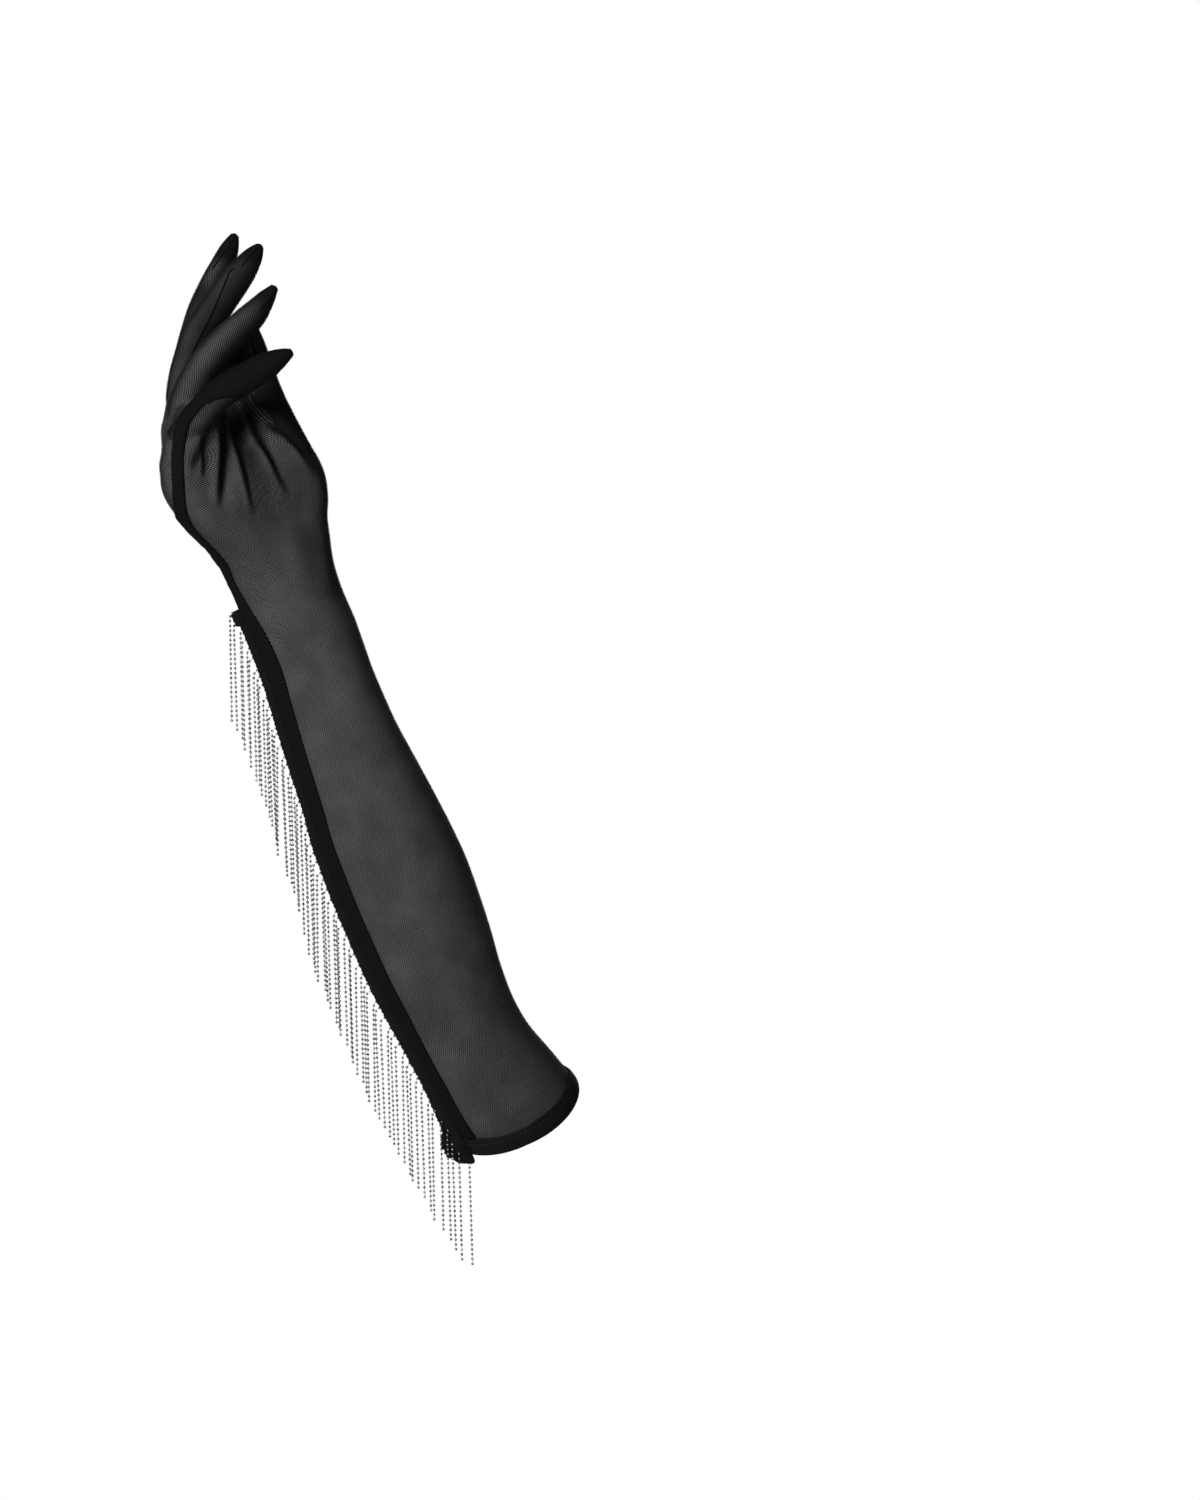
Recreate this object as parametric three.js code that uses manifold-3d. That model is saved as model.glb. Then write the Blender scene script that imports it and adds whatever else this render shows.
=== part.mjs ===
// Elbow-length mesh glove for the right hand: a sheer stretch sleeve and hand, a smooth side band,
// a turned opening hem, and a trim tape along the outer seam from which strands of beads hang.
// Millimetres, +Z up towards the fingers, +X to the thumb side of the palm, +Y to the far side.
// The origin is the centre of the opening at the elbow.
import * as THREE from 'three';
import { mergeVertices } from 'three/addons/utils/BufferGeometryUtils.js';
import Module from 'manifold-3d';

const wasm = await Module();
wasm.setup();

// Driving sizes
const sleeveHeight = 268;
const forearmWidth = 72;
const handHeight = 192;
const handBreadth = 76;
const fingerWidth = 17;
const meshWall = 1;
const hemDepth = 10;
const hemThickness = 1;
const bandThickness = 1;
const tapeWidth = 12.5;
const tapeThickness = 2;
const tapeLength = 308;
const tapeTail = 6;
const tabLength = 9;
const tabThickness = 2.2;
const strandLength = 55;
const strandPitch = 5.3;
const beadDiameter = 1.6;
const seamGap = 0.3;
const grooveWidth = 0.8;
const seamRise = 1.5;
const strandShare = 0.4;

// Fineness of the faceted surface, and of the searches along it
const sidesAround = 33;
const sidesOfDigit = 10;
const sidesOfStrand = 4;
const facetsAcrossBand = 2;
const stationsPerHandRow = 1.5;
const facingSteps = 36;
const facingSpread = THREE.MathUtils.degToRad(81);
const anglesSearched = 180;
const stepsPerRow = 40;
const digitStep = 0.05;
const tabStep = 0.1;

// Shares that shape the cloth: how fast the folds fade in from the sides of the palm, and the least
// of its own radius to which a digit may shrink.
const foldFade = 3;
const leastRadius = 0.2;

// Sleeve sections from the opening up to the wrist. rise, out and depth are shares of sleeveHeight,
// width is a share of forearmWidth, round is depth over width. slant and tilt turn the section's
// plane in degrees: slant lifts its right end, tilt lifts its far side. groove and edge place the
// groove beside the tape and the inner edge of the band, as shares of the half width, seen from
// the front and counted from the left outline.
const sleeveRows = [
  { rise: 0.000, out: 0.000, depth: 0.000, width: 1.007, round: 0.94,
    slant: 24, tilt: 34, groove: 0.24, edge: 0.42 },
  { rise: 0.052, out: -0.036, depth: -0.034, width: 0.968, round: 0.95,
    slant: 25, tilt: 32, groove: 0.21, edge: 0.38 },
  { rise: 0.112, out: -0.072, depth: -0.067, width: 0.882, round: 0.96,
    slant: 27, tilt: 29, groove: 0.16, edge: 0.32 },
  { rise: 0.172, out: -0.104, depth: -0.093, width: 0.871, round: 0.93,
    slant: 26, tilt: 24, groove: 0.15, edge: 0.31 },
  { rise: 0.243, out: -0.136, depth: -0.116, width: 0.908, round: 0.91,
    slant: 23, tilt: 19, groove: 0.11, edge: 0.32 },
  { rise: 0.307, out: -0.161, depth: -0.132, width: 0.956, round: 0.89,
    slant: 21, tilt: 15, groove: 0.08, edge: 0.30 },
  { rise: 0.374, out: -0.186, depth: -0.146, width: 0.982, round: 0.87,
    slant: 21, tilt: 12, groove: 0.07, edge: 0.28 },
  { rise: 0.443, out: -0.213, depth: -0.158, width: 1.000, round: 0.86,
    slant: 22, tilt: 10, groove: 0.07, edge: 0.27 },
  { rise: 0.507, out: -0.240, depth: -0.168, width: 0.985, round: 0.85,
    slant: 22, tilt: 8, groove: 0.07, edge: 0.27 },
  { rise: 0.570, out: -0.267, depth: -0.176, width: 0.950, round: 0.85,
    slant: 22, tilt: 7, groove: 0.07, edge: 0.27 },
  { rise: 0.638, out: -0.294, depth: -0.183, width: 0.886, round: 0.84,
    slant: 22, tilt: 6, groove: 0.07, edge: 0.28 },
  { rise: 0.715, out: -0.327, depth: -0.190, width: 0.828, round: 0.83,
    slant: 22, tilt: 5, groove: 0.08, edge: 0.31 },
  { rise: 0.773, out: -0.349, depth: -0.194, width: 0.798, round: 0.82,
    slant: 20, tilt: 4, groove: 0.08, edge: 0.33 },
  { rise: 0.832, out: -0.370, depth: -0.197, width: 0.772, round: 0.81,
    slant: 19, tilt: 3, groove: 0.09, edge: 0.35 },
  { rise: 0.891, out: -0.390, depth: -0.200, width: 0.765, round: 0.80,
    slant: 19, tilt: 3, groove: 0.09, edge: 0.37 },
  { rise: 0.950, out: -0.412, depth: -0.202, width: 0.772, round: 0.80,
    slant: 18, tilt: 3, groove: 0.07, edge: 0.34 },
  { rise: 1.000, out: -0.432, depth: -0.204, width: 0.775, round: 0.80,
    slant: 17, tilt: 4, groove: 0.02, edge: 0.25 },
];

// Hand sections from the wrist to the knuckles, the last one on the web of the thumb. rise and out
// are shares of handHeight, from the wrist. Each section is stretched over three round cores, the
// little finger's side of the palm, the index finger's side and the ball of the thumb, each with its
// place to the right and to the far side and its radius, as shares of handBreadth. groove and edge
// are as above.
const handRows = [
  { rise: 0.082, out: -0.030, slant: 15, tilt: 5, groove: 0.02, edge: 0.16,
    little: [-0.115, -0.03, 0.278], index: [-0.09, 0.03, 0.275], thumb: [0.12, 0.00, 0.262] },
  { rise: 0.140, out: -0.047, slant: 10, tilt: 6, groove: 0.02, edge: 0.15,
    little: [-0.135, -0.07, 0.243], index: [-0.12, 0.08, 0.243], thumb: [0.158, 0.01, 0.25] },
  { rise: 0.208, out: -0.096, slant: 4, tilt: 9, groove: 0.02, edge: 0.16,
    little: [-0.235, -0.145, 0.222], index: [-0.215, 0.16, 0.215], thumb: [0.24, 0.05, 0.257] },
  { rise: 0.273, out: -0.119, slant: 0, tilt: 12, groove: 0.06, edge: 0.21,
    little: [-0.325, -0.225, 0.208], index: [-0.31, 0.235, 0.20], thumb: [0.296, 0.09, 0.26] },
  { rise: 0.328, out: -0.131, slant: 0, tilt: 15, groove: 0.12, edge: 0.28,
    little: [-0.356, -0.27, 0.20], index: [-0.345, 0.283, 0.19], thumb: [0.316, 0.118, 0.25] },
  { rise: 0.383, out: -0.142, slant: 0, tilt: 18, groove: 0.14, edge: 0.31,
    little: [-0.342, -0.296, 0.195], index: [-0.332, 0.31, 0.184], thumb: [0.30, 0.13, 0.23] },
  { rise: 0.437, out: -0.156, slant: 0, tilt: 21, groove: 0.18, edge: 0.37,
    little: [-0.310, -0.316, 0.186], index: [-0.300, 0.33, 0.178], thumb: [0.28, 0.145, 0.17] },
  { rise: 0.487, out: -0.194, slant: 0, tilt: 24, groove: 0.20, edge: 0.40,
    little: [-0.222, -0.335, 0.18], index: [-0.210, 0.342, 0.171], thumb: [0.32, 0.15, 0.13] },
  { rise: 0.530, out: -0.230, slant: 0, tilt: 27, groove: 0.22, edge: 0.45,
    little: [-0.11, -0.348, 0.150], index: [-0.105, 0.352, 0.150], thumb: [0.36, 0.16, 0.11] },
  { rise: 0.566, out: -0.250, slant: 0, tilt: 28, groove: 0.25, edge: 0.50,
    little: [-0.06, -0.345, 0.105], index: [-0.055, 0.348, 0.105], thumb: [0.36, 0.16, 0.075] },
  { rise: 0.632, out: -0.230, slant: 0, tilt: 30, groove: 0.25, edge: 0.50,
    little: [0.10, 0.05, 0.08], index: [-0.04, 0.34, 0.09], thumb: [0.25, 0.20, 0.08] },
];

// Digits from the root to the pointed tip. out, rise and depth are shares of handHeight from the
// wrist, girth is a share of fingerWidth.
const digits = {
  littleFinger: [
    { out: -0.287, rise: 0.394, depth: -0.115, girth: 1.24 },
    { out: -0.284, rise: 0.448, depth: -0.130, girth: 1.13 },
    { out: -0.243, rise: 0.500, depth: -0.146, girth: 0.95 },
    { out: -0.194, rise: 0.552, depth: -0.167, girth: 0.90 },
    { out: -0.123, rise: 0.596, depth: -0.193, girth: 0.88 },
    { out: -0.060, rise: 0.634, depth: -0.216, girth: 0.74 },
    { out: -0.016, rise: 0.659, depth: -0.232, girth: 0.44 },
    { out: 0.007, rise: 0.670, depth: -0.240, girth: 0.17 },
  ],
  ringFinger: [
    { out: -0.290, rise: 0.459, depth: -0.031, girth: 1.24 },
    { out: -0.282, rise: 0.541, depth: -0.044, girth: 1.13 },
    { out: -0.238, rise: 0.634, depth: -0.062, girth: 1.05 },
    { out: -0.178, rise: 0.703, depth: -0.086, girth: 1.02 },
    { out: -0.137, rise: 0.741, depth: -0.102, girth: 0.96 },
    { out: -0.098, rise: 0.779, depth: -0.115, girth: 0.85 },
    { out: -0.066, rise: 0.819, depth: -0.128, girth: 0.51 },
    { out: -0.042, rise: 0.850, depth: -0.135, girth: 0.17 },
  ],
  middleFinger: [
    { out: -0.293, rise: 0.525, depth: 0.042, girth: 1.24 },
    { out: -0.287, rise: 0.618, depth: 0.039, girth: 1.08 },
    { out: -0.254, rise: 0.722, depth: 0.026, girth: 1.02 },
    { out: -0.211, rise: 0.788, depth: 0.010, girth: 1.01 },
    { out: -0.153, rise: 0.870, depth: -0.013, girth: 0.96 },
    { out: -0.126, rise: 0.906, depth: -0.023, girth: 0.78 },
    { out: -0.101, rise: 0.941, depth: -0.031, girth: 0.47 },
    { out: -0.085, rise: 0.965, depth: -0.036, girth: 0.17 },
  ],
  indexFinger: [
    { out: -0.293, rise: 0.544, depth: 0.125, girth: 1.24 },
    { out: -0.288, rise: 0.623, depth: 0.125, girth: 1.06 },
    { out: -0.268, rise: 0.712, depth: 0.120, girth: 0.99 },
    { out: -0.246, rise: 0.788, depth: 0.112, girth: 0.96 },
    { out: -0.216, rise: 0.856, depth: 0.099, girth: 0.92 },
    { out: -0.193, rise: 0.908, depth: 0.091, girth: 0.73 },
    { out: -0.170, rise: 0.963, depth: 0.086, girth: 0.46 },
    { out: -0.156, rise: 0.998, depth: 0.083, girth: 0.17 },
  ],
  thumb: [
    { out: -0.003, rise: 0.273, depth: 0.042, girth: 1.88 },
    { out: 0.010, rise: 0.366, depth: 0.052, girth: 1.44 },
    { out: -0.027, rise: 0.454, depth: 0.057, girth: 1.27 },
    { out: -0.064, rise: 0.539, depth: 0.057, girth: 1.15 },
    { out: -0.094, rise: 0.623, depth: 0.052, girth: 1.08 },
    { out: -0.113, rise: 0.697, depth: 0.044, girth: 0.94 },
    { out: -0.119, rise: 0.749, depth: 0.039, girth: 0.60 },
    { out: -0.116, rise: 0.788, depth: 0.036, girth: 0.18 },
  ],
};

// Folds that run down the palm from under the little finger, seen from the front, and the hollow
// between the fingers and the thumb. Each goes from its upper end to its lower end, out and rise as
// shares of handHeight from the wrist. spread is its half width and sink its depth, as shares of
// handBreadth.
const palmFolds = [
  { name: 'thumb fold', fromOut: -0.105, fromRise: 0.450,
    toOut: -0.006, toRise: 0.315, spread: 0.075, sink: 0.040 },
  { name: 'middle fold', fromOut: -0.135, fromRise: 0.490,
    toOut: -0.090, toRise: 0.215, spread: 0.070, sink: 0.036 },
  { name: 'deep fold', fromOut: -0.170, fromRise: 0.485,
    toOut: -0.185, toRise: 0.240, spread: 0.075, sink: 0.042 },
  { name: 'side fold', fromOut: -0.205, fromRise: 0.440,
    toOut: -0.235, toRise: 0.310, spread: 0.070, sink: 0.025 },
  { name: 'hollow', fromOut: -0.150, fromRise: 0.600,
    toOut: -0.080, toRise: 0.480, spread: 0.340, sink: 0.170 },
];

// The band over the little finger: from and to are angles in degrees round the finger, 0 on its near
// side and negative over its back, at places counted in the finger's rows.
const littleFingerBand = [
  { place: 0.6, from: -40, to: 8 },
  { place: 1, from: -45, to: 8 },
  { place: 1.5, from: -60, to: 2 },
  { place: 2, from: -88, to: -13 },
  { place: 2.5, from: -95, to: -10 },
  { place: 3, from: -100, to: 5 },
  { place: 4, from: -110, to: 60 },
  { place: 5, from: -120, to: 80 },
  { place: 6, from: -125, to: 85 },
  { place: 6.8, from: -130, to: 90 },
];

const wristRow = sleeveRows[sleeveRows.length - 1];
const wrist = new THREE.Vector3(wristRow.out, wristRow.depth, wristRow.rise).multiplyScalar(sleeveHeight);

// A closed triangle mesh becomes a solid once its shared corners are merged.
function solidOf(positions, triangles) {
  const geometry = new THREE.BufferGeometry();
  geometry.setAttribute('position', new THREE.Float32BufferAttribute(positions, 3));
  geometry.setIndex(triangles);
  return solidOfGeometry(geometry);
}

function solidOfGeometry(geometry) {
  const bare = geometry.clone();
  bare.deleteAttribute('normal');
  bare.deleteAttribute('uv');
  const merged = mergeVertices(bare, 1e-4);
  const vertProperties = new Float32Array(merged.attributes.position.array);
  let triVerts = new Uint32Array(merged.index.array);
  if (signedVolume(vertProperties, triVerts) < 0) {
    triVerts = triVerts.map((_, i) => triVerts[i - (i % 3) + 2 - (i % 3)]);
  }
  return new wasm.Manifold(new wasm.Mesh({ numProp: 3, vertProperties, triVerts }));
}

function signedVolume(points, triangles) {
  const corner = (i) => new THREE.Vector3().fromArray(points, 3 * triangles[i]);
  let sum = 0;
  for (let i = 0; i < triangles.length; i += 3) {
    sum += corner(i).dot(corner(i + 1).cross(corner(i + 2)));
  }
  return sum / 6;
}

// Joins rings of equal count into one skin, with a flat fan over each end.
function loft(rings) {
  const sides = rings[0].length;
  const positions = rings.flat().flatMap((p) => [p.x, p.y, p.z]);
  const triangles = [];
  const quad = (a, b, c, d) => triangles.push(a, b, c, a, c, d);
  for (let r = 0; r + 1 < rings.length; r += 1) {
    for (let i = 0; i < sides; i += 1) {
      const j = (i + 1) % sides;
      quad(r * sides + i, r * sides + j, (r + 1) * sides + j, (r + 1) * sides + i);
    }
  }
  const fan = (ring, first, flip) => {
    const centre = ring.reduce((sum, p) => sum.add(p), new THREE.Vector3()).divideScalar(sides);
    const hub = positions.length / 3;
    positions.push(centre.x, centre.y, centre.z);
    for (let i = 0; i < sides; i += 1) {
      const j = (i + 1) % sides;
      triangles.push(hub, first + (flip ? j : i), first + (flip ? i : j));
    }
  };
  fan(rings[0], 0, true);
  fan(rings[rings.length - 1], (rings.length - 1) * sides, false);
  return solidOf(positions, triangles);
}

// One smooth value from a column of a table, at a place counted in rows.
function column(rows, place, read) {
  const last = rows.length - 1;
  const i = Math.min(Math.max(Math.floor(place), 0), last - 1);
  const t = place - i;
  const at = (k) => read(rows[Math.min(Math.max(k, 0), last)]);
  const [a, b, c, d] = [at(i - 1), at(i), at(i + 1), at(i + 2)];
  const slopeB = (c - a) / 2;
  const slopeC = (d - b) / 2;
  const t2 = t * t;
  const t3 = t2 * t;
  return (2 * t3 - 3 * t2 + 1) * b + (t3 - 2 * t2 + t) * slopeB + (3 * t2 - 2 * t3) * c + (t3 - t2) * slopeC;
}

// Sleeve and hand share one list of sections, each with a centre, a turned plane and three cores.
const bodyRows = [
  ...sleeveRows.map((row) => {
    const halfWidth = (row.width * forearmWidth) / 2;
    const radius = halfWidth * row.round;
    const reach = halfWidth - radius;
    return {
      centre: new THREE.Vector3(row.out, row.depth, row.rise).multiplyScalar(sleeveHeight),
      slant: row.slant,
      tilt: row.tilt,
      groove: row.groove,
      edge: row.edge,
      cores: [[-reach, 0, radius], [-reach, 0, radius], [reach, 0, radius]],
    };
  }),
  ...handRows.map((row) => ({
    centre: new THREE.Vector3(row.out, 0, row.rise).multiplyScalar(handHeight).add(wrist),
    slant: row.slant,
    tilt: row.tilt,
    groove: row.groove,
    edge: row.edge,
    cores: [row.little, row.index, row.thumb].map((core) => core.map((share) => share * handBreadth)),
  })),
];
const wristPlace = sleeveRows.length - 1;
const knucklePlace = bodyRows.length - 1;
const webRows = 1;
const bandTopPlace = knucklePlace - webRows - 1;

const sections = new Map();

function sectionAt(place) {
  if (!sections.has(place)) {
    sections.set(place, newSection(place));
  }
  return sections.get(place);
}

function newSection(place) {
  const value = (read) => column(bodyRows, place, read);
  const slant = THREE.MathUtils.degToRad(value((row) => row.slant));
  const tilt = THREE.MathUtils.degToRad(value((row) => row.tilt));
  const right = new THREE.Vector3(Math.cos(slant), 0, Math.sin(slant));
  const up = new THREE.Vector3(-Math.sin(slant), 0, Math.cos(slant));
  const far = new THREE.Vector3(0, Math.cos(tilt), 0).addScaledVector(up, Math.sin(tilt));
  const cores = [0, 1, 2].map((core) => [0, 1, 2].map((part) => value((row) => row.cores[core][part])));
  return {
    centre: new THREE.Vector3(
      value((row) => row.centre.x), value((row) => row.centre.y), value((row) => row.centre.z)),
    right,
    far,
    cores,
    groove: value((row) => row.groove),
    edge: value((row) => row.edge),
  };
}

// Distance from a section's centre to the cloth stretched over its three cores, along one angle:
// the nearest of the lines that touch the cores, over all the ways that the cloth can face there.
function reachOf(section, angle, offset) {
  let nearest = Infinity;
  for (let k = -facingSteps; k <= facingSteps; k += 1) {
    const facing = angle + (facingSpread * k) / facingSteps;
    const [c, s] = [Math.cos(facing), Math.sin(facing)];
    let support = 0;
    for (const [u, v, radius] of section.cores) {
      support = Math.max(support, u * c + v * s + radius);
    }
    nearest = Math.min(nearest, (support + offset) / Math.cos(facing - angle));
  }
  return nearest;
}

// How far the folds pull the palm in at a point of its near side.
function foldSink(point) {
  const spot = new THREE.Vector2(point.x - wrist.x, point.z - wrist.z);
  let sink = 0;
  for (const fold of palmFolds) {
    const from = new THREE.Vector2(fold.fromOut, fold.fromRise).multiplyScalar(handHeight);
    const run = new THREE.Vector2(fold.toOut, fold.toRise).multiplyScalar(handHeight).sub(from);
    const share = THREE.MathUtils.clamp(spot.clone().sub(from).dot(run) / run.lengthSq(), 0, 1);
    const away = spot.distanceTo(from.addScaledVector(run, share)) / (fold.spread * handBreadth);
    sink += fold.sink * handBreadth * (1 - THREE.MathUtils.smoothstep(away, 0, 1));
  }
  return sink;
}

// A point of the sleeve or hand: offset is its distance out of the mesh's outer face.
function skin(place, angle, offset) {
  const inside = THREE.MathUtils.clamp(place, 0, knucklePlace);
  const section = sectionAt(inside);
  const along = (reach) => section.centre.clone()
    .addScaledVector(section.right, reach * Math.cos(angle))
    .addScaledVector(section.far, reach * Math.sin(angle));
  const reach = reachOf(section, angle, offset);
  const point = along(reach);
  if (place > wristPlace && Math.sin(angle) < 0) {
    return along(reach - foldSink(point) * Math.min(1, -foldFade * Math.sin(angle)));
  }
  return point;
}

// Outward direction of the opening, square to its section.
const mouth = sectionAt(0);
const mouthNormal = mouth.far.clone().cross(mouth.right).normalize();

function ring(place, offset) {
  return Array.from({ length: sidesAround }, (_, i) => skin(place, (2 * Math.PI * i) / sidesAround, offset));
}

function bodySolid(offset, tail) {
  const rings = bodyPlaces.map((place) => ring(place, offset));
  if (tail > 0) {
    rings.unshift(rings[0].map((p) => p.clone().addScaledVector(mouthNormal, tail)));
  }
  return loft(rings);
}

// Centreline, radius and turning frame of a digit, with angle 0 on its near side.
function digitSection(rows, place) {
  const centreAt = (at) => new THREE.Vector3(
    column(rows, at, (row) => row.out),
    column(rows, at, (row) => row.depth),
    column(rows, at, (row) => row.rise)).multiplyScalar(handHeight).add(wrist);
  const last = rows.length - 1;
  const ahead = centreAt(Math.min(place + digitStep, last));
  const along = ahead.sub(centreAt(Math.max(place - digitStep, 0))).normalize();
  const near = new THREE.Vector3(0, -1, 0);
  near.addScaledVector(along, -near.dot(along)).normalize();
  return {
    centre: centreAt(place),
    along,
    near,
    side: along.clone().cross(near),
    radius: (column(rows, place, (row) => row.girth) * fingerWidth) / 2,
  };
}

function digitPoint(rows, place, angle, offset) {
  const section = digitSection(rows, place);
  const radius = Math.max(section.radius + offset, section.radius * leastRadius);
  return section.centre
    .addScaledVector(section.near, radius * Math.cos(angle))
    .addScaledVector(section.side, radius * Math.sin(angle));
}

const digitPlaces = [0, 1, 2, 2.5, 3, 3.5, 4, 4.6, 5.2, 5.8, 6.4, 7];

function digitSolid(rows, offset) {
  const rings = digitPlaces.map((place) => Array.from({ length: sidesOfDigit }, (_, i) =>
    digitPoint(rows, place, (2 * Math.PI * i) / sidesOfDigit, offset)));
  const tip = digitSection(rows, rows.length - 1);
  rings[rings.length - 1].forEach((p) => p.addScaledVector(tip.along, offset));
  return loft(rings);
}

// The whole glove grown or shrunk by an offset, with the sleeve run on past the opening by a tail.
function gloveSolid(offset, tail = 0) {
  const parts = Object.values(digits).map((rows) => digitSolid(rows, offset));
  return parts.reduce((whole, part) => whole.add(part), bodySolid(offset, tail));
}

// One ring round a strip of cloth that lies between two angles and two offsets of a surface.
function stripRing(place, [from, to], low, high, pointAt, across) {
  const line = Array.from({ length: across + 1 }, (_, i) => from + ((to - from) * i) / across);
  const outer = line.map((angle) => pointAt(place, angle, high));
  const inner = line.map((angle) => pointAt(place, angle, low)).reverse();
  return [...outer, ...inner];
}

function strip(places, angles, low, high, pointAt, across) {
  return loft(places.map((place, k) => stripRing(place, angles[k], low, high, pointAt, across)));
}

// Angle on a section, on its near left side, where the cloth lies a share of the half width inside
// the left outline.
function angleAtShare(section, share) {
  const leftReach = Math.max(...section.cores.map(([u, , radius]) => radius - u));
  const goal = -leftReach * (1 - share);
  for (let k = 0; k < anglesSearched; k += 1) {
    const angle = Math.PI * (1 + (0.5 * k) / anglesSearched);
    if (reachOf(section, angle, 0) * Math.cos(angle) >= goal) {
      return angle;
    }
  }
  return Math.PI * 1.5;
}

// Place on the left outline of the sleeve or hand at a distance above the opening.
function placeAtRun(run) {
  let length = 0;
  let before = skin(0, Math.PI, 0);
  for (let k = 1; k <= knucklePlace * stepsPerRow; k += 1) {
    const point = skin(k / stepsPerRow, Math.PI, 0);
    length += point.distanceTo(before);
    before = point;
    if (length >= run) {
      return k / stepsPerRow;
    }
  }
  return knucklePlace;
}

const hemTopPlace = placeAtRun(hemDepth);
const hemClearPlace = placeAtRun(hemDepth + seamRise);
const tapeTopPlace = placeAtRun(tapeLength);
const tabPlace = placeAtRun(tapeLength - tabLength);
const hemOuter = seamGap + hemThickness;
const bandOuter = seamGap + bandThickness;

const bodyPlaces = [0, hemTopPlace];
for (let i = 1; i < wristPlace; i += 1) {
  bodyPlaces.push(i);
}
for (let i = 0; i <= (knucklePlace - wristPlace) * stationsPerHandRow; i += 1) {
  bodyPlaces.push(wristPlace + i / stationsPerHandRow);
}

const meshSkin = gloveSolid(0);
const clearance = gloveSolid(seamGap, tapeTail * 2);
const meshGlove = meshSkin.subtract(gloveSolid(-meshWall, meshWall));

const openingHem = loft([0, hemTopPlace].map((place) => ring(place, hemOuter))).subtract(clearance);

// The side band lies between the groove and its inner edge all the way up the outer seam, then
// over the back of the little finger, whose end it covers.
const bandPlaces = [hemClearPlace, ...bodyPlaces.filter((place) => place >= 1 && place <= bandTopPlace)];
const bandAngles = bandPlaces.map((place) => {
  const section = sectionAt(place);
  const groove = angleAtShare(section, section.groove);
  return [groove + grooveWidth / reachOf(section, groove, 0), angleAtShare(section, section.edge)];
});
const fingerBandPlaces = littleFingerBand.map((row) => row.place);
const fingerBandAngles = littleFingerBand.map((row) => [row.from, row.to].map(THREE.MathUtils.degToRad));
const onLittleFinger = (place, angle, offset) => digitPoint(digits.littleFinger, place, angle, offset);
const sideBand = strip(bandPlaces, bandAngles, -meshWall / 2, bandOuter, skin, facetsAcrossBand)
  .add(strip(fingerBandPlaces, fingerBandAngles, -meshWall / 2, bandOuter, onLittleFinger, sidesOfDigit))
  .subtract(clearance);

// The tape lies beside the band, rides up over the hem and hangs a little past the opening. Its
// upper end is folded back into a thick tab.
const tapePlaces = [
  0, hemTopPlace, hemClearPlace,
  ...bodyPlaces.filter((place) => place >= 1 && place < tabPlace - 2 * tabStep),
  tabPlace - tabStep, tabPlace, tapeTopPlace,
];
const tapeAngle = (place, share) => {
  const section = sectionAt(place);
  const groove = angleAtShare(section, section.groove);
  return groove - ((1 - share) * tapeWidth) / reachOf(section, groove, 0);
};
const tapeLow = (place) => (place <= hemTopPlace ? hemOuter + seamGap : -meshWall / 2);
const tapeLift = (place) => (place <= hemTopPlace ? hemOuter + seamGap : seamGap) + tapeThickness;
const tapeHigh = (place) => tapeLift(place) + (place >= tabPlace ? tabThickness : 0);
const tapeRings = tapePlaces.map((place) => {
  const angles = [tapeAngle(place, 0), tapeAngle(place, 1)];
  return stripRing(place, angles, tapeLow(place), tapeHigh(place), skin, facetsAcrossBand);
});
tapeRings.unshift(tapeRings[0].map((p) => p.clone().addScaledVector(mouthNormal, tapeTail)));
const tape = loft(tapeRings).subtract(clearance);

// Strands hang straight down from roots spaced evenly along the tape.
function strandRoots() {
  const roots = [];
  const rootAt = (place) =>
    skin(place, tapeAngle(place, strandShare), tapeHigh(place) - beadDiameter / 4);
  let before = rootAt(0);
  let run = 0;
  const tail = mouthNormal.clone().multiplyScalar(tapeTail - beadDiameter);
  roots.push(before.clone().add(tail));
  for (let k = 1; k <= tapeTopPlace * stepsPerRow; k += 1) {
    const point = rootAt(k / stepsPerRow);
    run += point.distanceTo(before);
    before = point;
    if (run >= strandPitch) {
      roots.push(point);
      run -= strandPitch;
    }
  }
  return roots;
}

function strand(root) {
  const section = new THREE.Shape();
  for (let i = 0; i < sidesOfStrand; i += 1) {
    const angle = (2 * Math.PI * i) / sidesOfStrand;
    const radius = beadDiameter / 2;
    const corner = [radius * Math.cos(angle), radius * Math.sin(angle)];
    if (i === 0) {
      section.moveTo(...corner);
    } else {
      section.lineTo(...corner);
    }
  }
  const end = root.clone().add(new THREE.Vector3(0, 0, -strandLength));
  const path = new THREE.LineCurve3(root, end);
  const settings = { steps: 1, bevelEnabled: false, extrudePath: path };
  return solidOfGeometry(new THREE.ExtrudeGeometry(section, settings));
}

const beadFringe = strandRoots().reduce((whole, root) => whole.add(strand(root)), tape);

function finish(color, roughness, metalness) {
  return new THREE.MeshStandardMaterial({ color, roughness, metalness });
}

const pieces = {
  mesh_glove: [meshGlove, finish(0x3a3a3c, 0.8, 0)],
  opening_hem: [openingHem, finish(0x131315, 0.7, 0)],
  side_band: [sideBand, finish(0x141416, 0.6, 0)],
  bead_fringe: [beadFringe, finish(0xb9bcc2, 0.3, 0.9)],
};

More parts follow.
